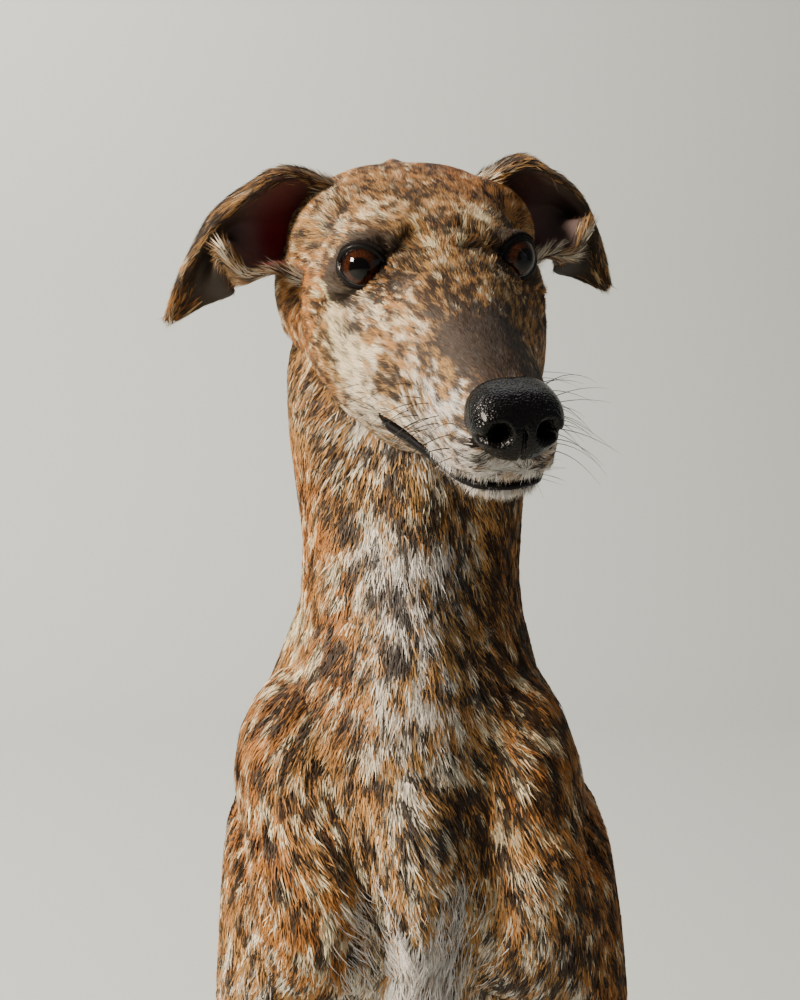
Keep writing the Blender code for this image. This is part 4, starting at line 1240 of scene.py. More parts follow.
def build_claws(material):
    """A curved horn at the tip of every toe, thick at its root, that stops just over the floor."""
    shapes = []
    for centre_x, front, _ in PAWS:
        for side in (LEFT, RIGHT):
            for offset in TOE_OFFSETS:
                tip = toe_tip(front, offset)
                x = centre_x * side + offset * 1.25
                share = np.linspace(0, 1, 14)
                forward = tip - SEAT_BACK + 0.004 - CLAW_LENGTH * np.sin(share * 1.35)
                line = np.stack([x + 0 * share, forward, 0.0125 - 0.0105 * share**1.8], -1)
                shapes.append(tube(line, 0.0026 * (1 - 0.80 * share**1.3), 10))
    return finish_piece(joined("claws", shapes), material)


# The coat: which way the hair grows, its markings, and the tufts themselves
def axis_samples():
    """Points along the middle of every part, with the way its hair grows there and the part's size.
    Hair runs from the nose back over the head, down the neck and trunk, down the limbs and out along
    the tail."""
    rows = []
    parts = [("head", None, 0), ("neck", NECK, 1), ("trunk", TORSO, 2), ("tail", TAIL, 3)]
    for side in (LEFT, RIGHT):
        first = 4 if side == LEFT else 8
        parts += [("foreleg", FORELEG, first), ("thigh", THIGH, first + 1),
                  ("shank", SHANK, first + 2), ("hindfoot", HINDFOOT, first + 3)]
    for name, stations, chart in parts:
        side = RIGHT if chart >= 8 else LEFT
        if stations is None:
            smooth = through(HEAD, 40)
            line = from_head(np.stack([0 * smooth[:, 0], -smooth[:, 0],
                                       0.5 * (smooth[:, 1] + smooth[:, 2])], -1))
            size = smooth[:, 3]
        else:
            smooth = through([ring(side, *station)[:4] for station in stations], 60)
            line = smooth[:, :3] - (0, SEAT_BACK, 0)
            size = smooth[:, 3]
        tangent = unit(np.gradient(line, axis=0))
        if name == "foreleg":
            foot = np.array([[PAWS[0][0] * side, PAWS[0][1] - SEAT_BACK, 0.012]])
            line, size = np.vstack([line, foot]), np.append(size, 0.022)
            tangent = np.vstack([tangent, [[0, -1, 0]]])
        share = np.linspace(0, 1, len(line))
        rows.append(np.column_stack([line, tangent, size, np.full(len(line), chart), share]))
    return np.vstack(rows)


AXES = axis_samples()
HEAD_CHART, NECK_CHART, TRUNK_CHART, TAIL_CHART = 0, 1, 2, 3
FORELEG_CHARTS, EAR_CHARTS = (4, 8), {LEFT: 12, RIGHT: 13}


def read_axes(points):
    """For each point: the blended way of the hair, the nearest part and the share along it."""
    flow = np.zeros((len(points), 3))
    chart = np.zeros(len(points), int)
    share = np.zeros(len(points))
    for start in range(0, len(points), ROWS_AT_ONCE):
        rows = slice(start, start + ROWS_AT_ONCE)
        chunk = points[rows]
        apart = np.linalg.norm(chunk[:, None] - AXES[None, :, :3], axis=2) / AXES[None, :, 6]
        nearest = np.argmin(apart, axis=1)
        closeness = np.exp(-4.0 * (apart - apart.min(1, keepdims=True)))
        flow[rows] = closeness @ AXES[:, 3:6]
        chart[rows] = AXES[nearest, 7]
        share[rows] = AXES[nearest, 8]
    return flow, chart, share


# Random numbers for the clouds, and a large prime for each direction that picks one of them
LATTICE = np.random.default_rng(7).random(8192)
PRIMES = np.array([73856093, 19349663, 83492791])


def cloud_noise(points, size):
    """Smooth random values: a random number at each corner of a grid of cubes, blended between them."""
    at = points / size
    low = np.floor(at).astype(np.int64)
    t = at - low
    t = t * t * (3 - 2 * t)
    total = np.zeros(len(points))
    for corner in range(8):
        step = np.array([corner & 1, corner >> 1 & 1, corner >> 2 & 1])
        cell = low + step
        key = np.bitwise_xor.reduce(cell * PRIMES, axis=1) & len(LATTICE) - 1
        total += LATTICE[key] * np.prod(np.where(step, t, 1 - t), axis=1)
    return total


def streak_noise(points, flow, size, reach):
    """Cloud noise averaged along the hair, so that its spots draw out into short streaks."""
    steps = np.linspace(-reach, reach, 3)
    total = sum(cloud_noise(points + flow * step, size) for step in steps) / len(steps)
    return 0.5 + (total - 0.5) * 1.7


# Regions of the coat: centre and radii in millimetres, share of dark hair, share of pale hair, how
# warm, how grey. On the head centres are (aside, forward, up), on the body as the rings of flesh. In a
# few body rows, marked where they stand, the dark share is partly painted shade.
HEAD_GROUND = (0.44, 0.28, 0.40, 0.10)
HEAD_REGIONS = (
    ((-36, -50, 22), (20, 28, 18), 0.40, 0.30, 0.45, 0.20),
    ((-10, -42, 27), (16, 26, 14), 0.44, 0.30, 0.45, 0.00),
    ((-6, -75, 30), (50, 24, 14), 0.40, 0.12, 0.95, 0.00),
    ((33, -55, 27), (26, 34, 20), 0.48, 0.06, 1.00, 0.00),
    ((-3, -34, 26), (7, 8, 8), 1.10, 0.00, 0.20, 0.50),
    ((-29, -5, 15), (8, 10, 8), 1.25, 0.00, 0.20, 0.20),
    ((-4, 4, 18), (16, 26, 14), 0.48, 0.36, 0.35, 0.00),
    ((24, -8, 19), (7, 10, 9), 0.06, 1.10, 0.10, 0.00),
    ((34, 14, 6), (8, 14, 10), 1.30, 0.00, 0.00, 0.20),
    ((40, -6, 12), (10, 10, 8), 1.20, 0.00, 0.00, 0.20),
    ((24, 14, 10), (6, 10, 7), 1.25, 0.00, 0.00, 0.20),
    ((20, 22, 8), (12, 16, 12), 0.54, 0.36, 0.45, 0.00),
    ((-43, -18, 10), (14, 20, 12), 0.36, 0.52, 0.40, 0.25),
    ((-58, -22, -30), (10, 22, 26), 0.34, 0.08, 1.00, 0.00),
    ((-52, 1, -13), (9, 10, 10), 0.02, 1.25, 0.10, 0.00),
    ((-50, 12, -28), (10, 16, 13), 0.08, 1.20, 0.10, 0.00),
    ((-46, 26, -40), (10, 14, 11), 0.12, 1.10, 0.10, 0.20),
    ((-42, 18, -17), (8, 14, 8), 0.58, 0.42, 0.30, 0.60),
    ((-53, -4, -52), (10, 16, 14), 0.78, 0.14, 0.50, 0.10),
    ((-56, -26, -62), (12, 16, 12), 0.82, 0.12, 0.50, 0.05),
    ((-40, 34, -56), (10, 16, 12), 0.24, 1.00, 0.00, 0.55),
    ((-36, 48, -38), (8, 10, 6), 0.72, 0.50, 0.00, 0.90),
    ((-30, 36, -12), (10, 22, 10), 0.46, 0.40, 0.35, 0.10),
    ((-28, 64, -20), (10, 18, 12), 0.60, 0.36, 0.20, 0.50),
    ((-6, 90, -5), (18, 24, 13), 1.30, 0.00, 0.10, 1.00),
    ((16, 92, -14), (14, 28, 16), 1.05, 0.00, 0.10, 0.90),
    ((0, 50, 4), (14, 18, 10), 0.50, 0.36, 0.35, 0.15),
    ((-26, 28, 2), (7, 10, 6), 1.15, 0.00, 0.00, 1.00),
    ((-50, -11, -2), (6, 10, 4), 1.10, 0.00, 0.00, 0.60),
    ((42, 20, -20), (12, 22, 18), 0.66, 0.16, 0.60, 0.00),
    ((34, 45, -26), (14, 24, 18), 0.60, 0.20, 0.60, 0.20),
    ((-24, 100, -34), (14, 26, 12), 0.46, 0.72, 0.00, 1.00),
    ((20, 104, -36), (16, 26, 14), 0.60, 0.55, 0.00, 1.00),
    ((-20, 105, -46), (26, 30, 8), 0.34, 1.00, 0.00, 1.00),
    ((0, 112, -64), (30, 34, 9), 0.04, 1.10, 0.00, 1.00),
    ((0, 122, -50), (34, 18, 12), 0.42, 1.00, 0.00, 1.00),
    ((0, 30, -84), (40, 50, 16), 0.40, 0.55, 0.10, 0.90),
)
BODY_GROUND = (0.38, 0.24, 0.60, 0.06)
BODY_REGIONS = (
    ((-50, 20, 690), (20, 60, 120), 0.26, 0.10, 1.00, 0.00),
    ((-16, -20, 665), (16, 40, 70), 0.32, 1.02, 0.00, 1.00),
    ((10, -25, 650), (19, 40, 85), 0.52, 0.78, 0.00, 1.00),
    ((-30, -18, 600), (16, 40, 30), 0.34, 0.36, 0.80, 0.20),
    ((4, -38, 570), (24, 40, 32), 0.42, 0.60, 0.20, 0.75),
    # The right side of the neck: dark brown brindle hair, made darker still as painted shade of the side
    # away from the key lamp
    ((46, 0, 640), (18, 50, 110), 0.72, 0.08, 0.70, 0.00),
    ((-62, 22, 602), (12, 34, 22), 0.02, 1.10, 0.30, 0.00),
    ((-86, 0, 500), (26, 70, 70), 0.32, 0.24, 1.00, 0.00),
    ((-50, -26, 520), (20, 50, 36), 0.36, 0.46, 0.50, 0.15),
    ((46, -28, 530), (26, 50, 50), 0.42, 0.34, 0.60, 0.10),
    ((90, 0, 500), (22, 70, 90), 0.42, 0.12, 1.00, 0.00),
    ((0, -50, 500), (13, 40, 50), 0.40, 0.66, 0.25, 0.55),
    # Beside the keel, over the hollows pressed into the chest: the raised dark share here is painted
    # shade in those hollows
    ((-28, -32, 490), (10, 30, 34), 0.56, 0.24, 0.35, 0.20),
    ((24, -34, 490), (9, 30, 40), 0.60, 0.20, 0.35, 0.20),
    ((0, -60, 440), (14, 40, 30), 0.42, 0.60, 0.20, 0.60),
    ((-60, -36, 450), (22, 40, 24), 0.34, 0.40, 0.90, 0.10),
    ((56, -36, 450), (22, 40, 30), 0.44, 0.44, 0.50, 0.30),
    ((-4, -45, 402), (28, 50, 18), 0.04, 1.10, 0.00, 1.00),
    ((-86, -20, 410), (22, 30, 40), 0.44, 0.60, 0.15, 0.80),
    ((64, -25, 415), (24, 30, 40), 0.56, 0.62, 0.00, 1.00),
    ((106, 0, 420), (18, 60, 80), 0.52, 0.10, 1.00, 0.00),
    ((-76, -20, 300), (24, 30, 70), 0.36, 0.60, 0.10, 1.00),
    ((76, -20, 300), (24, 30, 70), 0.40, 0.56, 0.10, 1.00),
    ((-67, -30, 60), (40, 50, 70), 0.25, 0.65, 0.10, 0.90),
    ((67, -30, 60), (40, 50, 70), 0.25, 0.65, 0.10, 0.90),
    ((-119, 110, 12), (35, 60, 30), 0.25, 0.60, 0.20, 0.70),
    ((119, 110, 12), (35, 60, 30), 0.25, 0.60, 0.20, 0.70),
    ((0, 60, 345), (60, 80, 40), 0.15, 0.80, 0.20, 0.60),
    ((0, 240, 330), (80, 130, 90), 0.46, 0.12, 0.90, 0.00),
)
# How much the ground counts against a region's middle
GROUND_WEIGHT = 0.10
# Where the chest's skin shows pink between the forelegs: centre and radii
PINK_SKIN = (((0.0, 0.020, 0.335), (0.036, 0.100, 0.030)),
             ((0.012, -0.020, 0.405), (0.012, 0.050, 0.026)))
# How far outside the lids the black rim of the left and of the right eye holds, and where it ends
EYE_RIM = ((0.0062, 0.0105), (0.0100, 0.0165))
# Sizes of the coat's spots on the body and the face and of its larger patches, how far the mixed
# clouds spread round their middle, and how soft a spot's edge is
SPOT, FACE_SPOT, BRINDLE_PATCH = 0.0036, 0.0018, 0.0120
PATTERN_SPREAD = 0.130
SPOT_EDGE = 0.20
# How strongly the hair turns round the points of the shoulders: centre and radii
SHOULDER_POINT, SHOULDER_SWIRL = (0.050, -0.040, 0.440), (0.045, 0.060, 0.070)


def region_values(points, rows, ground):
    """Dark share, pale share, warmth and greyness at each point: a region weighs as a soft hill round
    its centre, and the ground weighs a little everywhere."""
    total = np.full(len(points), GROUND_WEIGHT)
    values = np.tile(np.array(ground) * GROUND_WEIGHT, (len(points), 1))
    for centre, radii, *amounts in rows:
        weight = hills(points - np.array(centre) / 1000, np.array(radii) / 1000)
        total += weight
        values += weight[:, None] * np.array(amounts)
    return values / total[:, None]


def skin_amounts(points, eyes_apart):
    """The regions' values on the skin, all dark close round the eyes, and 1 on the head fading to 0 on
    the neck."""
    head = to_head(points)
    face = on_the_head(points, HEAD_REACH, NECK_STARTS)
    of_head = region_values(head, HEAD_REGIONS, HEAD_GROUND)
    of_body = region_values(to_body(points), BODY_REGIONS, BODY_GROUND)
    amounts = of_body + (of_head - of_body) * face[:, None]
    near, far = (np.where(head[:, 0] > 0, *reach) for reach in EYE_RIM)
    rim = 1 - smooth_step(0, 1, (eyes_apart - near) / (far - near))
    amounts[:, 0] += (1.5 - amounts[:, 0]) * rim
    return amounts, face


def markings(points, flow, amounts, face, stray):
    """How pale, dark, warm and grey the coat is at each point. Two patterns of short streaks, one for
    dark hair and one for pale, mix clouds a few millimetres wide drawn out along the hair, larger
    patches and each tuft's own chance. Where a pattern is above one minus the share there, it shows."""
    shown = []
    for shift, share in ((0.0, amounts[:, 0]), (13.3, amounts[:, 1])):
        spot = streak_noise(points + shift, flow, SPOT, SPOT)
        small = streak_noise(points + shift + 3.1, flow, FACE_SPOT, FACE_SPOT)
        patch = streak_noise(points + shift + 7.7, flow, BRINDLE_PATCH, SPOT)
        mixed = 0.54 * (spot + (small - spot) * face) + 0.15 * patch + 0.31 * stray
        rank = 1 / (1 + np.exp(-1.7 * (mixed - 0.5) / PATTERN_SPREAD))
        shown.append(smooth_step(1 - share - SPOT_EDGE, 1 - share + SPOT_EDGE, rank))
    warm = np.clip(amounts[:, 2] + 0.5 * (patch - 0.5), 0, 1)
    return np.stack([shown[1], 0.96 * shown[0], warm, np.clip(amounts[:, 3], 0, 1)], -1)


def eye_distance(points):
    """How far each point is outside the nearer almond between the lids; inside it is below zero. The
    way along the eyeball grows with the height over it, and the height itself counts too."""
    nearest = np.full(len(points), 1.0)
    for side in (LEFT, RIGHT):
        seen = to_eye(points, side)
        near = np.nonzero((np.linalg.norm(seen, axis=1) < 0.040) & (seen[:, 1] < 0.006))[0]
        apart, reach = outside_lids(seen[near], side), np.linalg.norm(seen[near], axis=1)
        lifted = np.maximum(reach - EYE_RADIUS - LID_UNDER - LID_FOLD, 0)
        apart = np.where(apart > 0, np.hypot(apart * np.maximum(reach / EYE_RADIUS, 1), lifted), apart)
        nearest[near] = np.minimum(nearest[near], apart)
    return nearest


def hair_flow(points, normals, raw, chart):
    """The way the hair lies, along the skin: the parts' own way, fanned out at the throat, swept round
    the shoulders' points, and a little restless."""
    body = to_body(points)
    head = to_head(points)
    flow = unit(raw)
    front = smooth_step(0.2, 0.8, -normals[:, 1])
    throat = front * smooth_step(0.50, 0.56, body[:, 2]) * (1 - smooth_step(0.72, 0.76, body[:, 2]))
    throat = throat * (chart != HEAD_CHART)
    fan = np.stack([np.sign(body[:, 0]) * smooth_step(0.0, 0.05, np.abs(body[:, 0])), 0 * throat,
                    0 * throat], -1)
    flow = flow + 0.75 * throat[:, None] * fan
    for side in (LEFT, RIGHT):
        apart = body - np.array(SHOULDER_POINT) * (side, 1, 1)
        near = hills(apart, SHOULDER_SWIRL) * front
        turned = np.stack([-apart[:, 2] * side * -1, 0 * near, apart[:, 0] * side * -1], -1)
        flow = flow + 14.0 * near[:, None] * turned * side
    sway = np.stack([cloud_noise(points + 21 + 9 * k, 0.030) - 0.5 for k in range(3)], -1)
    flow = flow + 0.55 * sway
    on_face = (chart == HEAD_CHART) & (head[:, 1] > -0.02)
    spread = np.stack([np.sign(head[:, 0]) * smooth_step(0, 0.02, np.abs(head[:, 0])),
                       0 * head[:, 0], 0.3 + 0 * head[:, 0]], -1) @ HEAD_TURNED.T
    flow = flow + 0.35 * on_face[:, None] * spread
    flow = flow - normals * np.sum(flow * normals, axis=1, keepdims=True)
    return unit(flow)


def coat_sizes(points, normals, chart):
    """For each point: tufts per square metre, their length and width, and how far they stand off."""
    body = to_body(points)
    head = to_head(points)
    neck = (chart == NECK_CHART) * 1.0
    trunk = (chart == TRUNK_CHART) * 1.0
    on_head = (chart == HEAD_CHART) * 1.0
    legs = np.isin(chart, FORELEG_CHARTS) * 1.0
    hind = ((chart > TAIL_CHART) & (legs == 0)) * 1.0
    tail = (chart == TAIL_CHART) * 1.0
    facing = smooth_step(-0.25, 0.5, -normals[:, 1]) * (body[:, 1] < 0.12)
    muzzle = on_head * smooth_step(0.02, 0.07, head[:, 1])
    length = (on_head * (0.0064 - 0.0028 * muzzle) + neck * 0.0092 + trunk * 0.0098 + legs * 0.0080
              + hind * 0.0115 + tail * 0.0100)
    low = 1 - smooth_step(0.02, 0.10, body[:, 2])
    length = length * (1 - 0.45 * low * (tail == 0))
    width = (on_head * (0.00054 - 0.00014 * muzzle) + neck * 0.00068 + trunk * 0.00084 + legs * 0.00080
             + hind * 0.0015 + tail * 0.0013)
    width = width * (1 + 0.35 * (1 - facing) * (1 - on_head))
    density = (on_head * (1.9 + 0.7 * facing) + neck * (0.55 + 0.75 * facing)
               + trunk * (0.34 + 0.55 * facing) + legs * (0.6 + 0.5 * facing) + hind * 0.38 + tail * 0.5)
    density = density * (1 + 0.5 * low * (1 - on_head)) * (1 - 0.8 * pink_share(body))
    stand = 1.0 + 0.5 * neck * facing + 0.3 * trunk * facing - 0.45 * on_head - 0.3 * low
    return density, length, width, stand


def bare_zones(points, head, eyes_apart):
    """1 where hair grows and 0 on bare skin: round the eyes, at the nose, on the lips and under the
    feet."""
    hair = smooth_step(0.0024, 0.0044, eyes_apart)
    corner = 1 - smooth_step(MOUTH_CORNER_FORWARD, MOUTH_CORNER_FORWARD + 0.030, head[:, 1])
    lips = np.abs(head[:, 2] - mouth_height(head[:, 1]) + 0.0016) < 0.0032 + 0.0014 * corner
    lips = lips & (head[:, 1] > MOUTH_CORNER_FORWARD - 0.002)
    hair = hair * (1 - lips)
    hair = hair * (1 - smooth_step(NOSE_FORWARD - 0.012, NOSE_FORWARD - 0.006, head[:, 1])
                   * (head[:, 2] > -0.040))
    return hair * smooth_step(0.0015, 0.0035, points[:, 2])


# Each part's box on the unwrap: its corner, width and height. Head, neck, trunk and tail come first,
# then the four lengths of the left legs, of the right legs, and the two ears
CHART_BOXES = (
    (0.00, 0.00, 0.48, 0.46), (0.50, 0.00, 0.23, 0.46), (0.75, 0.00, 0.24, 0.46),
    (0.00, 0.48, 0.12, 0.24),
    *((x, y, wide, 0.24) for y in (0.48, 0.74)
      for x, wide in ((0.14, 0.14), (0.30, 0.14), (0.46, 0.10), (0.58, 0.10))),
    (0.72, 0.48, 0.24, 0.24), (0.72, 0.74, 0.24, 0.24),
)


def skin_unwrap(points, chart, share):
    """A place on the skin's unwrap for each point: each part is slit along one side and laid flat, its
    length one way and the turn round it the other."""
    axis = {int(k): AXES[AXES[:, 7] == k] for k in np.unique(AXES[:, 7])}
    place = np.zeros((len(points), 2))
    for k, rows in axis.items():
        here = chart == k
        if not here.any():
            continue
        index = np.round(share[here] * (len(rows) - 1)).astype(int)
        tangent = rows[index, 3:6]
        away = points[here] - rows[index, :3]
        along = np.clip(share[here] + np.sum(away * tangent, 1) * 0.5, 0, 1)
        across = unit(np.cross(tangent, np.array([0.0, -0.6, 0.8])))
        over = np.cross(tangent, across)
        turn = np.arctan2(np.sum(away * over, 1), np.sum(away * across, 1)) / (2 * math.pi) + 0.5
        x, y, wide, high = CHART_BOXES[k]
        place[here] = np.stack([x + 0.01 + turn * (wide - 0.02), y + 0.01 + along * (high - 0.02)], -1)
    return place


def scatter(points, corners, weight, count):
    """Seeds count roots over triangles: a triangle is drawn by its area times its weight, and the root
    is a random spot in it."""
    a, b, c = (points[corners[:, k]] for k in range(3))
    area = 0.5 * np.linalg.norm(np.cross(b - a, c - a), axis=1) * weight[corners].mean(1)
    total = np.cumsum(area)
    pick = np.searchsorted(total, rng.random(count) * total[-1])
    first, second = rng.random(count), rng.random(count)
    flip = first + second > 1
    first[flip], second[flip] = 1 - first[flip], 1 - second[flip]
    share = np.stack([1 - first - second, first, second], -1)
    return corners[pick], share


def blended(values, corners, share):
    """Values at a mesh's corners read inside its triangles."""
    if values.ndim == 1:
        return np.sum(values[corners] * share, axis=1)
    return np.sum(values[corners] * share[..., None], axis=1)


# Each blade: its rows as (share of its length, share of its width), its triangles, and where its
# corners lie in its patch of the unwrap
BLADES = {
    "long": (((0.0, 1.0), (0.5, 0.85), (1.0, 0.0)), ((0, 3, 1), (0, 2, 3), (2, 4, 3)),
             ((-0.5, -0.5), (0.5, -0.5), (-0.4, 0.1), (0.4, 0.1), (0.0, 0.5))),
    "short": (((0.0, 1.0), (1.0, 0.0)), ((0, 2, 1),), ((-0.5, -0.5), (0.5, -0.5), (0.0, 0.5))),
}


# How much each tuft turns in the skin, bends, and turns about its own length
SWING, BEND, TWIST = 0.16, 0.05, 0.45


def tufts(blade, tuft):
    """Flat tapered blades: a root edge, a middle edge when long, and a point. Each rises off the skin
    early, then bows back towards it, by its length times 0.34 q less 0.24 q squared at share q of it."""
    widths, fan, patch = BLADES[blade]
    root, normal, flow, length = tuft["root"], tuft["normal"], tuft["flow"], tuft["length"]
    count = len(root)
    swing = rng.normal(0, SWING, count)[:, None]
    flow = unit(flow + np.cross(normal, flow) * swing)
    side = np.cross(normal, flow)
    twist = rng.uniform(-TWIST, TWIST, count)[:, None]
    edge = side * np.cos(twist) + normal * np.sin(twist)
    bend = rng.normal(0, BEND, count)[:, None]
    rows = []
    for q, wide in widths:
        rise = (0.34 * q - 0.24 * q * q) * tuft["stand"] + 0.02
        middle = (root + flow * (length * q)[:, None] + normal * (length * rise)[:, None]
                  + side * (bend * (q * q)) * length[:, None])
        half = edge * (0.5 * wide * tuft["width"])[:, None]
        rows += [middle - half, middle + half] if wide else [middle]
    points = np.stack(rows, 1)
    points[..., 2] = np.maximum(points[..., 2], FLOOR_GAP)
    facing = np.cross(flow, edge)
    facing = facing * np.sign(np.sum(facing * normal, axis=1, keepdims=True))
    shade = unit(0.80 * normal + 0.35 * facing - 0.25 * flow + rng.normal(0, 0.20, (count, 3)))
    corners = len(patch)
    triangles = (np.arange(count) * corners)[:, None, None] + np.array(fan)
    shares = np.repeat([q for q, _ in widths], [2 if wide else 1 for _, wide in widths])
    along = np.tile(shares, (count, 1))
    own = np.repeat(tuft["tone"][:, None], corners, 1)
    hair = np.stack([own, along, np.repeat(rng.random(count)[:, None], corners, 1),
                     np.ones((count, corners))], -1)
    place = np.repeat(tuft["place"], corners, 0) + np.tile(np.array(patch) * UV_PATCH, (count, 1))
    shade, marks, root = (np.repeat(each, corners, 0) for each in (shade, tuft["marks"], root))
    return points.reshape(-1, 3), triangles.reshape(-1, 3), shade, hair.reshape(-1, 4), marks, root, place


def coat_piece(name, parts, material):
    """One mesh of many tufts, with its markings, root places, shading and unwrap."""
    points, triangles, shade, hair, marks, root, place = parts
    mesh = bpy.data.meshes.new(name)
    mesh.vertices.add(len(points))
    mesh.vertices.foreach_set("co", points.astype(np.float32).ravel())
    mesh.loops.add(len(triangles) * 3)
    mesh.loops.foreach_set("vertex_index", triangles.astype(np.int32).ravel())
    mesh.polygons.add(len(triangles))
    mesh.polygons.foreach_set("loop_start", np.arange(len(triangles), dtype=np.int32) * 3)
    mesh.polygons.foreach_set("use_smooth", np.ones(len(triangles), bool))
    mesh.update(calc_edges=True)
    add_attribute(mesh, "root", "FLOAT_VECTOR", root)
    add_attribute(mesh, "Marks", "FLOAT_COLOR", marks)
    add_attribute(mesh, "Hair", "FLOAT_COLOR", hair)
    flat = mesh.uv_layers.new(name="OFBake")
    flat.data.foreach_set("uv", place[triangles.ravel()].astype(np.float32).ravel())
    mesh.normals_split_custom_set_from_vertices(shade.astype(np.float32).tolist())
    made = bpy.data.objects.new(name, mesh)
    bpy.context.scene.collection.objects.link(made)
    made.data.materials.append(material)
    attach(made, "root")
    return made


# The coat's colours, and how a tuft's tone runs from hair to hair and from its root to its tip
TAN, ORANGE, CREAM, WHITE = "#B68D58", "#AC6E35", "#F0DDB2", "#DFDAD4"
BROWN, CHARCOAL = "#30231A", "#38312E"
HAIR_TONES, ROOT_TONES = (0.52, 1.45), (0.60, 1.15)
BARE_SKIN, PINK = "#1B1513", "#C79A90"


def coat_colours(material, hair):
    """The coat's colour from its markings: tan or orange, darkened to brown or charcoal, or paled to
    cream or white. Tufts are darker at the root and each has a tone of its own."""
    marks = node(material, "ShaderNodeAttribute", {"attribute_name": "Marks"})
    parts = node(material, "ShaderNodeSeparateColor", {}, {}, [("Color", marks, "Color")])
    colour = {}
    for name, first, second, factor, output in (("base", TAN, ORANGE, parts, "Blue"),
                                                ("light", CREAM, WHITE, marks, "Alpha"),
                                                ("deep", BROWN, CHARCOAL, marks, "Alpha")):
        colour[name] = node(material, "ShaderNodeMix", {"data_type": "RGBA"},
                            {MIX_A: linear(first), MIX_B: linear(second)}, [("Factor", factor, output)])
    paled = node(material, "ShaderNodeMix", {"data_type": "RGBA"}, {},
                 [(MIX_A, colour["base"], MIX_OUT), (MIX_B, colour["light"], MIX_OUT),
                  ("Factor", parts, "Red")])
    mixed = node(material, "ShaderNodeMix", {"data_type": "RGBA"}, {},
                 [(MIX_A, paled, MIX_OUT), (MIX_B, colour["deep"], MIX_OUT),
                  ("Factor", parts, "Green")])
    if not hair:
        return mixed
    own = node(material, "ShaderNodeAttribute", {"attribute_name": "Hair"})
    split = node(material, "ShaderNodeSeparateColor", {}, {}, [("Color", own, "Color")])
    tones = [node(material, "ShaderNodeMapRange", {}, {"To Min": low, "To Max": high},
                  [("Value", split, channel)])
             for channel, (low, high) in (("Red", HAIR_TONES), ("Green", ROOT_TONES))]
    level = node(material, "ShaderNodeMath", {"operation": "MULTIPLY"}, {},
                 [(k, tone, "Result") for k, tone in enumerate(tones)])
    return node(material, "ShaderNodeVectorMath", {"operation": "SCALE"}, {},
                [(0, mixed, MIX_OUT), ("Scale", level, "Value")])


def coat_material():
    """Short hair: keratin, a little glossy, as it lies flat."""
    made = new_material("short glossy coat", TAN, 0.52, 1.5, 0.16)
    return feed(made, ("Base Color", coat_colours(made, True), "Vector"))


def skin_material():
    """Skin under the coat: the coat's colours a little darker, with the grain of short hair, and bare
    grey-black skin where no hair grows."""
    made = new_material("skin under the coat", TAN, 0.7, 1.45, 0.08)
    colour = coat_colours(made, False)
    bare = node(made, "ShaderNodeAttribute", {"attribute_name": "bare"})
    place = node(made, "ShaderNodeAttribute", {"attribute_name": "root"})
    grain = node(made, "ShaderNodeTexNoise", {}, {"Scale": 900.0, "Detail": 4.0},
                 [("Vector", place, "Vector")])
    dimmed = node(made, "ShaderNodeMix", {"data_type": "RGBA", "blend_type": "MULTIPLY"},
                  {"Factor": 0.45}, [(MIX_A, colour, MIX_OUT), (MIX_B, grain, "Color")])
    final = node(made, "ShaderNodeMix", {"data_type": "RGBA"}, {MIX_B: linear(BARE_SKIN)},
                 [(MIX_A, dimmed, MIX_OUT), ("Factor", bare, "Fac")])
    pink = node(made, "ShaderNodeAttribute", {"attribute_name": "pink"})
    final = node(made, "ShaderNodeMix", {"data_type": "RGBA"}, {MIX_B: linear(PINK)},
                 [(MIX_A, final, MIX_OUT), ("Factor", pink, "Fac")])
    bump = node(made, "ShaderNodeBump", {}, {"Strength": 0.5, "Distance": 0.0004},
                [("Height", grain, "Fac")])
    return feed(made, ("Base Color", final, MIX_OUT), ("Normal", bump, "Normal"))


def pink_share(body):
    """1 where the skin between the forelegs is almost bare, fading to 0 round it."""
    shown = np.zeros(len(body))
    for centre, radii in PINK_SKIN:
        shown = np.maximum(shown, hills(body - centre, radii))
    return shown


def mark_skin(mesh, points, flow, head, eyes_apart):
    amounts, face = skin_amounts(points, eyes_apart)
    add_attribute(mesh, "root", "FLOAT_VECTOR", points)
    add_attribute(mesh, "Marks", "FLOAT_COLOR", markings(points, flow, amounts, face, 0.5))
    nose_near = smooth_step(NOSE_FORWARD - 0.016, NOSE_FORWARD - 0.008, head[:, 1])
    nose_near = nose_near * (head[:, 2] > -0.042)
    eyes = 1 - smooth_step(0.0034, 0.0060, eyes_apart)
    lip = np.abs(head[:, 2] - mouth_height(head[:, 1]) + 0.0008)
    lips = (1 - smooth_step(0.0034, 0.0048, lip)) * (head[:, 1] > MOUTH_CORNER_FORWARD - 0.003)
    add_attribute(mesh, "bare", "FLOAT", np.clip(np.maximum(np.maximum(eyes, lips), nose_near), 0, 1))
    add_attribute(mesh, "pink", "FLOAT", pink_share(to_body(points)))


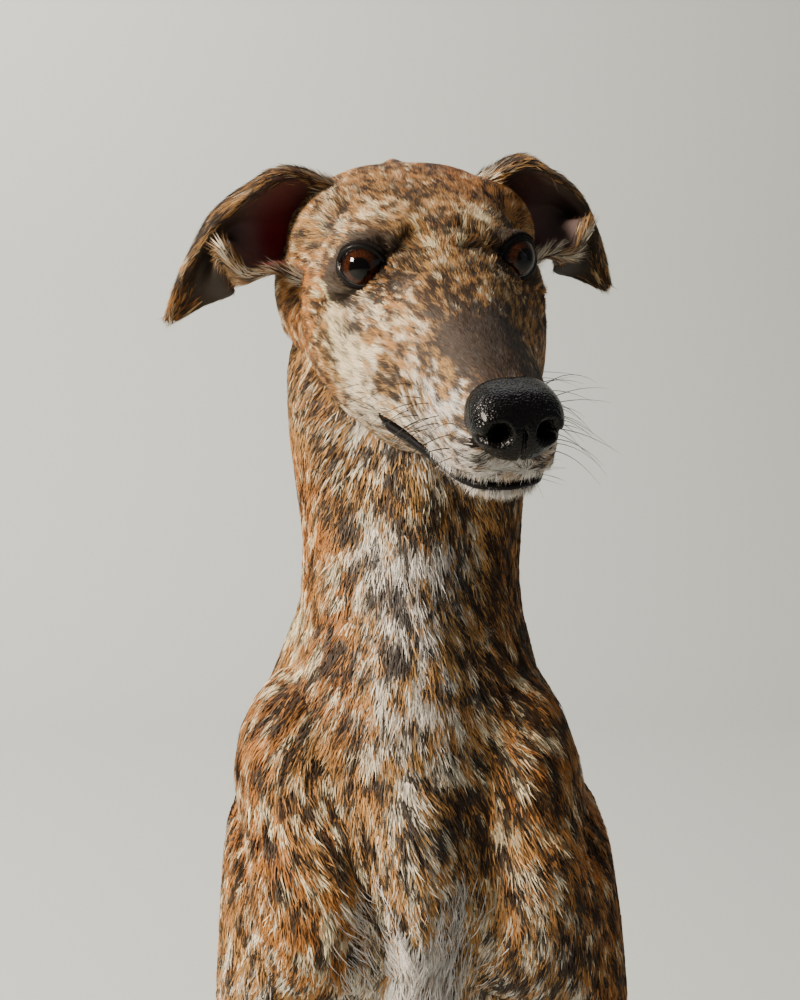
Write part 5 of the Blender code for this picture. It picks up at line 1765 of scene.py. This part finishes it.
def seeded(field, count):
    """Draws count tufts over a surface: every value is read at the tuft's root."""
    corners, inside = scatter(field["points"], field["triangles"], field["density"], count)
    tuft = {name: blended(field[name], corners, inside) for name in ("length", "width", "stand")}
    tuft["root"] = blended(field["points"], corners, inside)
    tuft["normal"] = unit(blended(field["normals"], corners, inside))
    flow = blended(field["flow"], corners, inside)
    tuft["flow"] = unit(flow - tuft["normal"] * np.sum(flow * tuft["normal"], axis=1, keepdims=True))
    for name in ("length", "width"):
        tuft[name] = tuft[name] * rng.uniform(0.7, 1.3, count)
    if "amounts" in field:
        amounts, face = blended(field["amounts"], corners, inside), np.ones(count)
    else:
        eyes_apart = blended(field["eyes_apart"], corners, inside)
        amounts, face = skin_amounts(tuft["root"], eyes_apart)
        tip_apart = eye_distance(tuft["root"] + tuft["flow"] * tuft["length"][:, None])
        clear = smooth_step(0.0016, 0.0040, tip_apart) * smooth_step(0.002, 0.008, eyes_apart)
        tip = to_head(tuft["root"] + tuft["flow"] * tuft["length"][:, None])
        over_lip = np.abs(tip[:, 2] - mouth_height(tip[:, 1]) + 0.0016)
        on_lip = (tip[:, 1] > MOUTH_CORNER_FORWARD - 0.002) & (tip[:, 1] < LIP_FRONT - 0.016)
        clear = clear * np.where(on_lip, smooth_step(0.0020, 0.0050, over_lip), 1)
        tuft["length"] = tuft["length"] * (0.30 + 0.70 * clear)
    if "place" in field:
        tuft["place"] = blended(field["place"], corners, inside)
    else:
        nearest = corners[:, 0]
        tuft["place"] = skin_unwrap(tuft["root"], field["chart"][nearest], field["share"][nearest])
        tuft["chart"] = field["chart"][nearest]
    at = tuft["root"] + tuft["flow"] * 0.002
    tuft["marks"] = markings(at, tuft["flow"], amounts, face, rng.random(count))
    tuft["tone"] = np.clip(rng.normal(0.5, 0.24, count), 0, 1)
    return tuft


def chosen(tuft, rows):
    return {name: values[rows] for name, values in tuft.items()}


def skin_field(skin):
    """Everything the tufts need to know over the skin."""
    mesh = skin.data
    points, normals = points_of(mesh), normals_of(mesh)
    raw, chart, share = read_axes(points)
    head = to_head(points)
    flow = hair_flow(points, normals, raw, chart)
    apart = eye_distance(points)
    mark_skin(mesh, points, flow, head, apart)
    density, length, width, stand = coat_sizes(points, normals, chart)
    return {"points": points, "normals": normals, "triangles": triangles_of(mesh), "flow": flow,
            "density": density * bare_zones(points, head, apart), "length": length, "width": width,
            "stand": stand, "chart": chart, "share": share, "eyes_apart": apart}


def ear_field(side, ear, grid):
    """The same over an ear: fur on its back and along its rolled margins, and long pale hairs at the
    root and along the front crest inside."""
    rows, columns = grid.shape[:2]
    length_share, round_share = even_shares(rows, columns)
    along = unit(np.gradient(grid, axis=0)).reshape(-1, 3)
    across = unit(np.gradient(grid, axis=1)).reshape(-1, 3)
    flap = smooth_step(0.48, 0.64, length_share)
    crest = hill(round_share - 0.18, 0.055) * (1 - flap)
    top = smooth_step(0.78, 0.88, round_share)
    root = 1 - smooth_step(0.02, 0.13, length_share)
    tip = smooth_step(0.78, 0.96, length_share)
    tucked = (1 - smooth_step(0.09, 0.15, round_share)) * (1 - flap)
    tan_tip = tip * (0.9 if side == RIGHT else 0.15)
    inner = np.clip(0.60 * crest + 0.9 * top + 0.6 * root + 1.0 * tucked + 0.35 * tip, 0, 1.1)
    amounts_in = np.stack([0.72 - 0.5 * crest - 0.6 * tan_tip - 0.30 * tucked - 0.3 * root,
                           0.14 + 0.7 * crest + 0.6 * root + 0.2 * tucked + 0.1 * top,
                           0.35 + 0.5 * tan_tip + 0.2 * tucked,
                           0.6 * crest + 0.3 * root + 0.25 * top], -1)
    amounts_out = np.stack([0.66 - 0.5 * tan_tip, 0.20 + 0.1 * tip, 0.45 + 0.3 * tip,
                            0.15 + 0 * tip], -1)
    box = CHART_BOXES[EAR_CHARTS[side]]
    half = 0.5 * box[2] - 0.008
    place_in = np.stack([box[0] + 0.004 + round_share * half,
                         box[1] + 0.004 + length_share * (box[3] - 0.008)], -1)
    flow_in = along + across * (0.6 * crest - 0.5 * root)[:, None]
    mesh = ear.data
    return {"points": points_of(mesh), "normals": normals_of(mesh), "triangles": triangles_of(mesh),
            "flow": np.concatenate([flow_in, along]),
            "density": np.concatenate([inner, 1.0 + 0 * inner]),
            "length": np.concatenate([0.0058 + 0.0030 * crest + 0.0040 * root, 0.0062 + 0.0020 * root]),
            "width": np.concatenate([0.00050 + 0 * crest, 0.00075 + 0 * root]),
            "stand": np.concatenate([1.1 + 1.2 * crest + 1.0 * root, 1.2 + 0.6 * root]),
            "amounts": np.concatenate([amounts_in, amounts_out]),
            "place": np.concatenate([place_in, place_in + (0.5 * box[2], 0)])}


# The hair over the lips and the tuft on the chest: length, width and how far it stands off
LIP_HAIR, CHEST_HAIR = (0.0048, 0.00028, 2.2), (0.0140, 0.00050, 2.0)
CHEST_TUFT_AT, CHEST_TUFT_RADII = (-0.006, -0.075, 0.434), (0.024, 0.060, 0.011)


def of_size(hair, size):
    """A kind of hair's length, width and stand, the same at every point."""
    return {name: value * size for name, value in zip(("length", "width", "stand"), hair)}


def fringes(field):
    """Longer white hair: the fringe that hangs over the upper lip and off the chin, and the tuft where
    the hair of the chest meets."""
    points, normals = field["points"], field["normals"]
    head, body = to_head(points), to_body(points)
    over_lip = head[:, 2] - mouth_height(head[:, 1])
    front = smooth_step(0.080, 0.105, head[:, 1]) * (field["chart"] == HEAD_CHART) * (over_lip > -0.012)
    lip = hill(over_lip - 0.0032, 0.0016) + 1.2 * hill(over_lip + 0.0062, 0.0030)
    white = np.tile((0.14, 0.90, 0.0, 1.0), (len(points), 1))
    down = -HEAD_TURNED[:, 2] + 0.25 * from_head(np.array([[0.0, 1.0, 0.0]]))[0] - 0.25 * HEAD_PLACE
    flow = down + 0.35 * normals
    flow = flow - normals * np.sum(flow * normals, axis=1, keepdims=True)
    size = np.ones(len(points))
    of_lips = dict(field, density=lip * front, flow=unit(flow), amounts=white, **of_size(LIP_HAIR, size))
    apart = body - CHEST_TUFT_AT
    tuft = hills(apart, CHEST_TUFT_RADII) * (field["chart"] != HEAD_CHART)
    astray = np.stack([cloud_noise(points + 5 * k, 0.010) - 0.5 for k in range(1, 4)], -1)
    swirl = np.stack([-12 * apart[:, 0], 0 * size, -0.9 + 0 * size], -1) + 1.6 * astray
    flow = swirl - normals * np.sum(swirl * normals, axis=1, keepdims=True)
    white = np.tile((0.03, 0.98, 0.0, 1.0), (len(points), 1))
    of_chest = dict(field, density=tuft, flow=unit(flow), amounts=white, **of_size(CHEST_HAIR, size))
    return of_lips, of_chest


def grow_coat(skin, ears, material):
    """Tufts over the skin and the ears, in pieces: long blades on the body, short ones on the head."""
    field = skin_field(skin)
    on_head = field["chart"] == HEAD_CHART
    body = dict(field, density=field["density"] * ~on_head)
    face = dict(field, density=field["density"] * on_head)
    sets = [("body", "long", seeded(body, BODY_TUFTS)), ("head", "short", seeded(face, HEAD_TUFTS))]
    of_lips, of_chest = fringes(field)
    sets.append(("fringe", "short", seeded(of_lips, FRINGE_TUFTS)))
    sets.append(("chest_tuft", "long", seeded(of_chest, CHEST_TUFTS)))
    for side, (ear, grid) in ears.items():
        name = "ear_" + EAR_SIDE_NAMES[side]
        sets.append((name, "short", seeded(ear_field(side, ear, grid), EAR_TUFTS)))
    for name, blade, tuft in sets:
        limit = PIECE_TRIANGLES // len(BLADES[blade][1])
        order = np.arange(len(tuft["tone"]))
        if "chart" in tuft:
            order = np.argsort(tuft.pop("chart"), kind="stable")
        for start in range(0, len(order), limit):
            piece = chosen(tuft, order[start:start + limit])
            label = "coat_%s" % name + ("_%d" % (start // limit + 1) if len(order) > limit else "")
            coat_piece(label, tufts(blade, piece), material)


skin = build_skin()
thin_body(skin)
smooth_shaded(skin)
skin.data.materials.append(skin_material())
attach(skin, "root")
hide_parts("head", "neck", "chest", "loin", "tail", "foreleg_left", "foreleg_right",
            "forepaw_left", "forepaw_right", "thigh_left", "thigh_right", "shank_left", "shank_right",
            "hindpaw_left", "hindpaw_right")

wet_eye = eye_material()
eye_piece("eyeball_left", LEFT, wet_eye)
eye_piece("eyeball_right", RIGHT, wet_eye)
build_lids(wet_leather("bare black lid", "#0B0807", 0.1, 0.55, 0.06))
build_tear_lines(wet_leather("wet lid edge", "#2A2220", 0.0, 0.08, 0.5))
build_nose(wet_leather("nose leather", "#040404", 0.8, 0.25, 0.08))
leather = ear_leather()
ears = {side: build_ear(side, leather) for side in (LEFT, RIGHT)}
tree = skin_tree(skin)
build_lips(tree, wet_leather("lip", "#0C0909", 0.1, 0.45, 0.05))
build_whiskers(tree, new_material("whisker", "#15110E", 0.4))
build_claws(new_material("claw horn", "#2B211B", 0.35))
grow_coat(skin, ears, coat_material())

camera_and_light()
build_stage()
